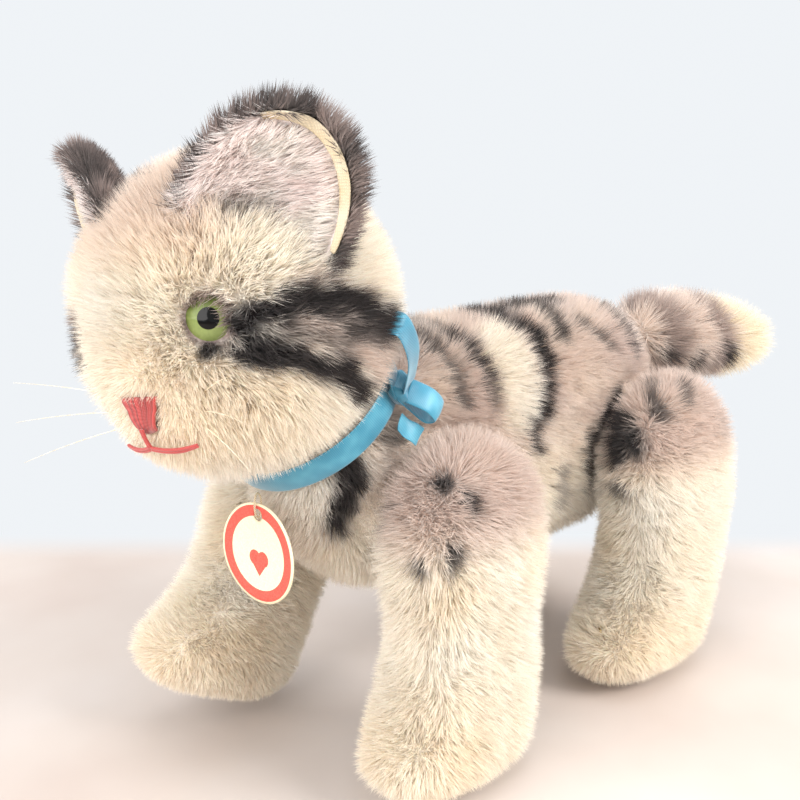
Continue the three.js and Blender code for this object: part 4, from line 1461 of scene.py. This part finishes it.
def make_bow_knot():
    """The crossing wrap in the middle of the bow, pinched along its length."""
    around, along = 28, 9
    axis = (bow_point(0, 1, 0) - bow_point(0, -1, 0)).normalized()
    outward = (bow_point(1, 0, 0) - bow_point(0, 0, 0)).normalized()
    middle = bow_point(1.9, 0, 0)
    points = []
    for i in range(along):
        v = spread(i, along)
        for k in range(around):
            angle = turn_at(k, around)
            fold = 1 + 0.06 * math.sin(6 * angle + 2 * v)
            pinch = (1 - 0.12 * (1 - v * v)) * fold
            points.append(
                middle + axis * (v * 3.0 * MM)
                + outward * (2.0 * MM * pinch * math.cos(angle))
                + NECK_AXIS * (3.2 * MM * pinch * math.sin(angle))
            )
    faces = grid_faces(along, around, close_columns=True)
    faces.append(tuple(range(around - 1, -1, -1)))
    faces.append(tuple(range((along - 1) * around, along * around)))
    ob = make("bow_knot_wrap", points, faces, SATIN, "torso")
    stands_for("bow_knot")


def punched_oval(hole_y, hole_r, sides=64, rings=14):
    """Places on an oval card, as shares of its half size, from the rim of a hole to its edge."""
    places = []
    for i in range(rings + 1):
        t = i / rings
        for k in range(sides):
            angle = turn_at(k, sides)
            hole = (hole_r * math.cos(angle), hole_y + hole_r * math.sin(angle))
            rim = (math.cos(angle), math.sin(angle))
            places.append((hole[0] + (rim[0] - hole[0]) * t, hole[1] + (rim[1] - hole[1]) * t))
    return places, grid_faces(rings + 1, sides, close_columns=True)


def make_tag():
    """An oval card with a punched hole, very slightly curled, printed with a plain border."""
    low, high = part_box("paper_tag")
    middle = (low + high) / 2
    wide = -Vector(JOINTS["tag_swing"]["axis"]).normalized()
    front = wide.cross(Vector((0, 0, 1))).normalized()
    if front.y > 0:
        front = -front
    half_wide = (high.x - low.x) / 2 / wide.x * 0.99
    half_high = (high.z - low.z) / 2 * 0.99
    places, faces = punched_oval(1 - TAG["hole_drop"] / half_high, TAG["hole"] / half_high)
    verts = [
        middle + wide * (u * half_wide) + Vector((0, 0, v * half_high)) + front * (TAG["curl"] * u * u)
        for u, v in places
    ]
    ob = make("hanging_tag", verts, faces, CARD, "tag")
    layer = ob.data.uv_layers.new(name="card")
    corner = np.empty(len(ob.data.loops), np.int32)
    ob.data.loops.foreach_get("vertex_index", corner)
    layer.data.foreach_set("uv", np.array(places, np.float32)[corner].ravel())
    modified(ob, "SOLIDIFY", thickness=TAG["thick"], offset=0)
    applied(ob)
    stands_for("paper_tag")


def make_tag_thread():
    """A two-ply cotton loop from the ribbon through the tag's hole."""
    low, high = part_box("tag_thread")
    middle = (low + high) / 2
    tall = (high.z - low.z) / 2
    deep, ply, steps, twists = 1.1 * MM, 0.16 * MM, 60, 14
    front = Vector((math.sin(math.radians(8)), -math.cos(math.radians(8)), 0))
    paths = []
    for phase in (0, math.pi):
        path = []
        for k in range(steps + 1):
            angle = turn_at(k, steps)
            spin = phase + twists * angle
            core = middle + Vector((0, 0, tall * math.cos(angle))) + front * (deep * math.sin(angle))
            path.append(core + Vector((ply * math.cos(spin), 0, ply * math.sin(spin))))
        paths.append(path)
    verts, faces = tubes(paths, 0.2 * MM, 6)
    ob = make("tag_cord_loop", verts, faces, COTTON, "tag")
    stands_for("tag_thread")


# ---- stage --------------------------------------------------------------------------------

BACKDROP = (0.87, 0.90, 0.93)
FLOOR_END = (0.385, 0.415)     # metres from the camera over which the floor fades out


def away_from_camera():
    """Level direction that the camera looks in."""
    azimuth = math.radians(CAMERA["azimuth"])
    return Vector((-math.sin(azimuth), math.cos(azimuth), 0))


def floor_material():
    """A pale limed table top that ends behind the cat, with the plain backdrop beyond."""
    material, tree, shader = new_material("pale_floor", Roughness=0.7)
    board = ramp(tree, noise_texture(tree, 9, 4.0), (
        (0.25, linear(190, 174, 165)),
        (0.5, linear(200, 188, 180)),
        (0.8, linear(210, 202, 198)),
    ))
    board = tinted(tree, board, wave_texture(tree, 5, "Y", 9.0), 0.96, 1.0)
    put(tree, shader, Base_Color=board)
    along = add_node(tree, "VectorMath")
    along.operation = "DOT_PRODUCT"
    along.inputs[1].default_value = away_from_camera()
    tree.links.new(own_space(tree), along.inputs[0])
    start = Vector(CAMERA["place"]).dot(away_from_camera())
    edge = add_node(tree, "MapRange", Value=along.outputs["Value"],
                    From_Min=start + FLOOR_END[0], From_Max=start + FLOOR_END[1])
    edge.interpolation_type = "SMOOTHSTEP"
    glow = add_node(tree, "Emission", Color=(*BACKDROP, 1))
    mixed_surface(tree, edge.outputs["Result"], shader, glow)
    return material


def make_floor():
    size = 3.0
    verts = [(-size, -size, 0), (size, -size, 0), (size, size, 0), (-size, size, 0)]
    mesh = bpy.data.meshes.new("floor")
    mesh.from_pydata(verts, [], [(0, 1, 2, 3)])
    mesh.materials.append(floor_material())
    ob = new_object("floor", mesh)
    ob.location.z = -0.4 * MM


def make_light(name, place, aim, size, power, colour):
    light = bpy.data.lights.new(name, "AREA")
    light.size = size
    light.energy = power
    light.color = colour
    ob = new_object(name, light)
    ob.location = place
    ob.rotation_euler = (Vector(aim) - Vector(place)).to_track_quat("-Z", "Y").to_euler()


def make_lights():
    world = bpy.data.worlds.new("studio")
    world.use_nodes = True
    background = world.node_tree.nodes["Background"]
    background.inputs["Color"].default_value = (*BACKDROP, 1)
    background.inputs["Strength"].default_value = 1.0
    bpy.context.scene.world = world
    bpy.context.scene.view_settings.view_transform = "Standard"
    aim = (0, 0, 0.08)
    make_light("window", (0.85, 0.30, 0.65), aim, 0.5, 11, (1.0, 0.98, 0.95))
    make_light("front_fill", (0.1, -1.0, 0.55), aim, 0.9, 11, (1.0, 0.98, 0.96))
    make_light("top", (0.0, 0.1, 1.1), aim, 0.9, 5, (0.98, 0.99, 1.0))


def make_camera():
    data = bpy.data.cameras.new("camera")
    data.lens = CAMERA["lens"]
    data.sensor_width = 36
    data.clip_start = 0.01
    ob = new_object("camera", data)
    ob.location = CAMERA["place"]
    pitch = math.radians(CAMERA["pitch"])
    way = away_from_camera() * math.cos(pitch) - Vector((0, 0, math.sin(pitch)))
    ob.rotation_euler = way.to_track_quat("-Z", "Y").to_euler()
    bpy.context.scene.camera = ob


make_camera()
make_lights()
make_floor()
dress_hidden_nodes()
make_body()
make_head()
make_neck_ribbon()
make_bow()
make_tag()
make_tag_thread()
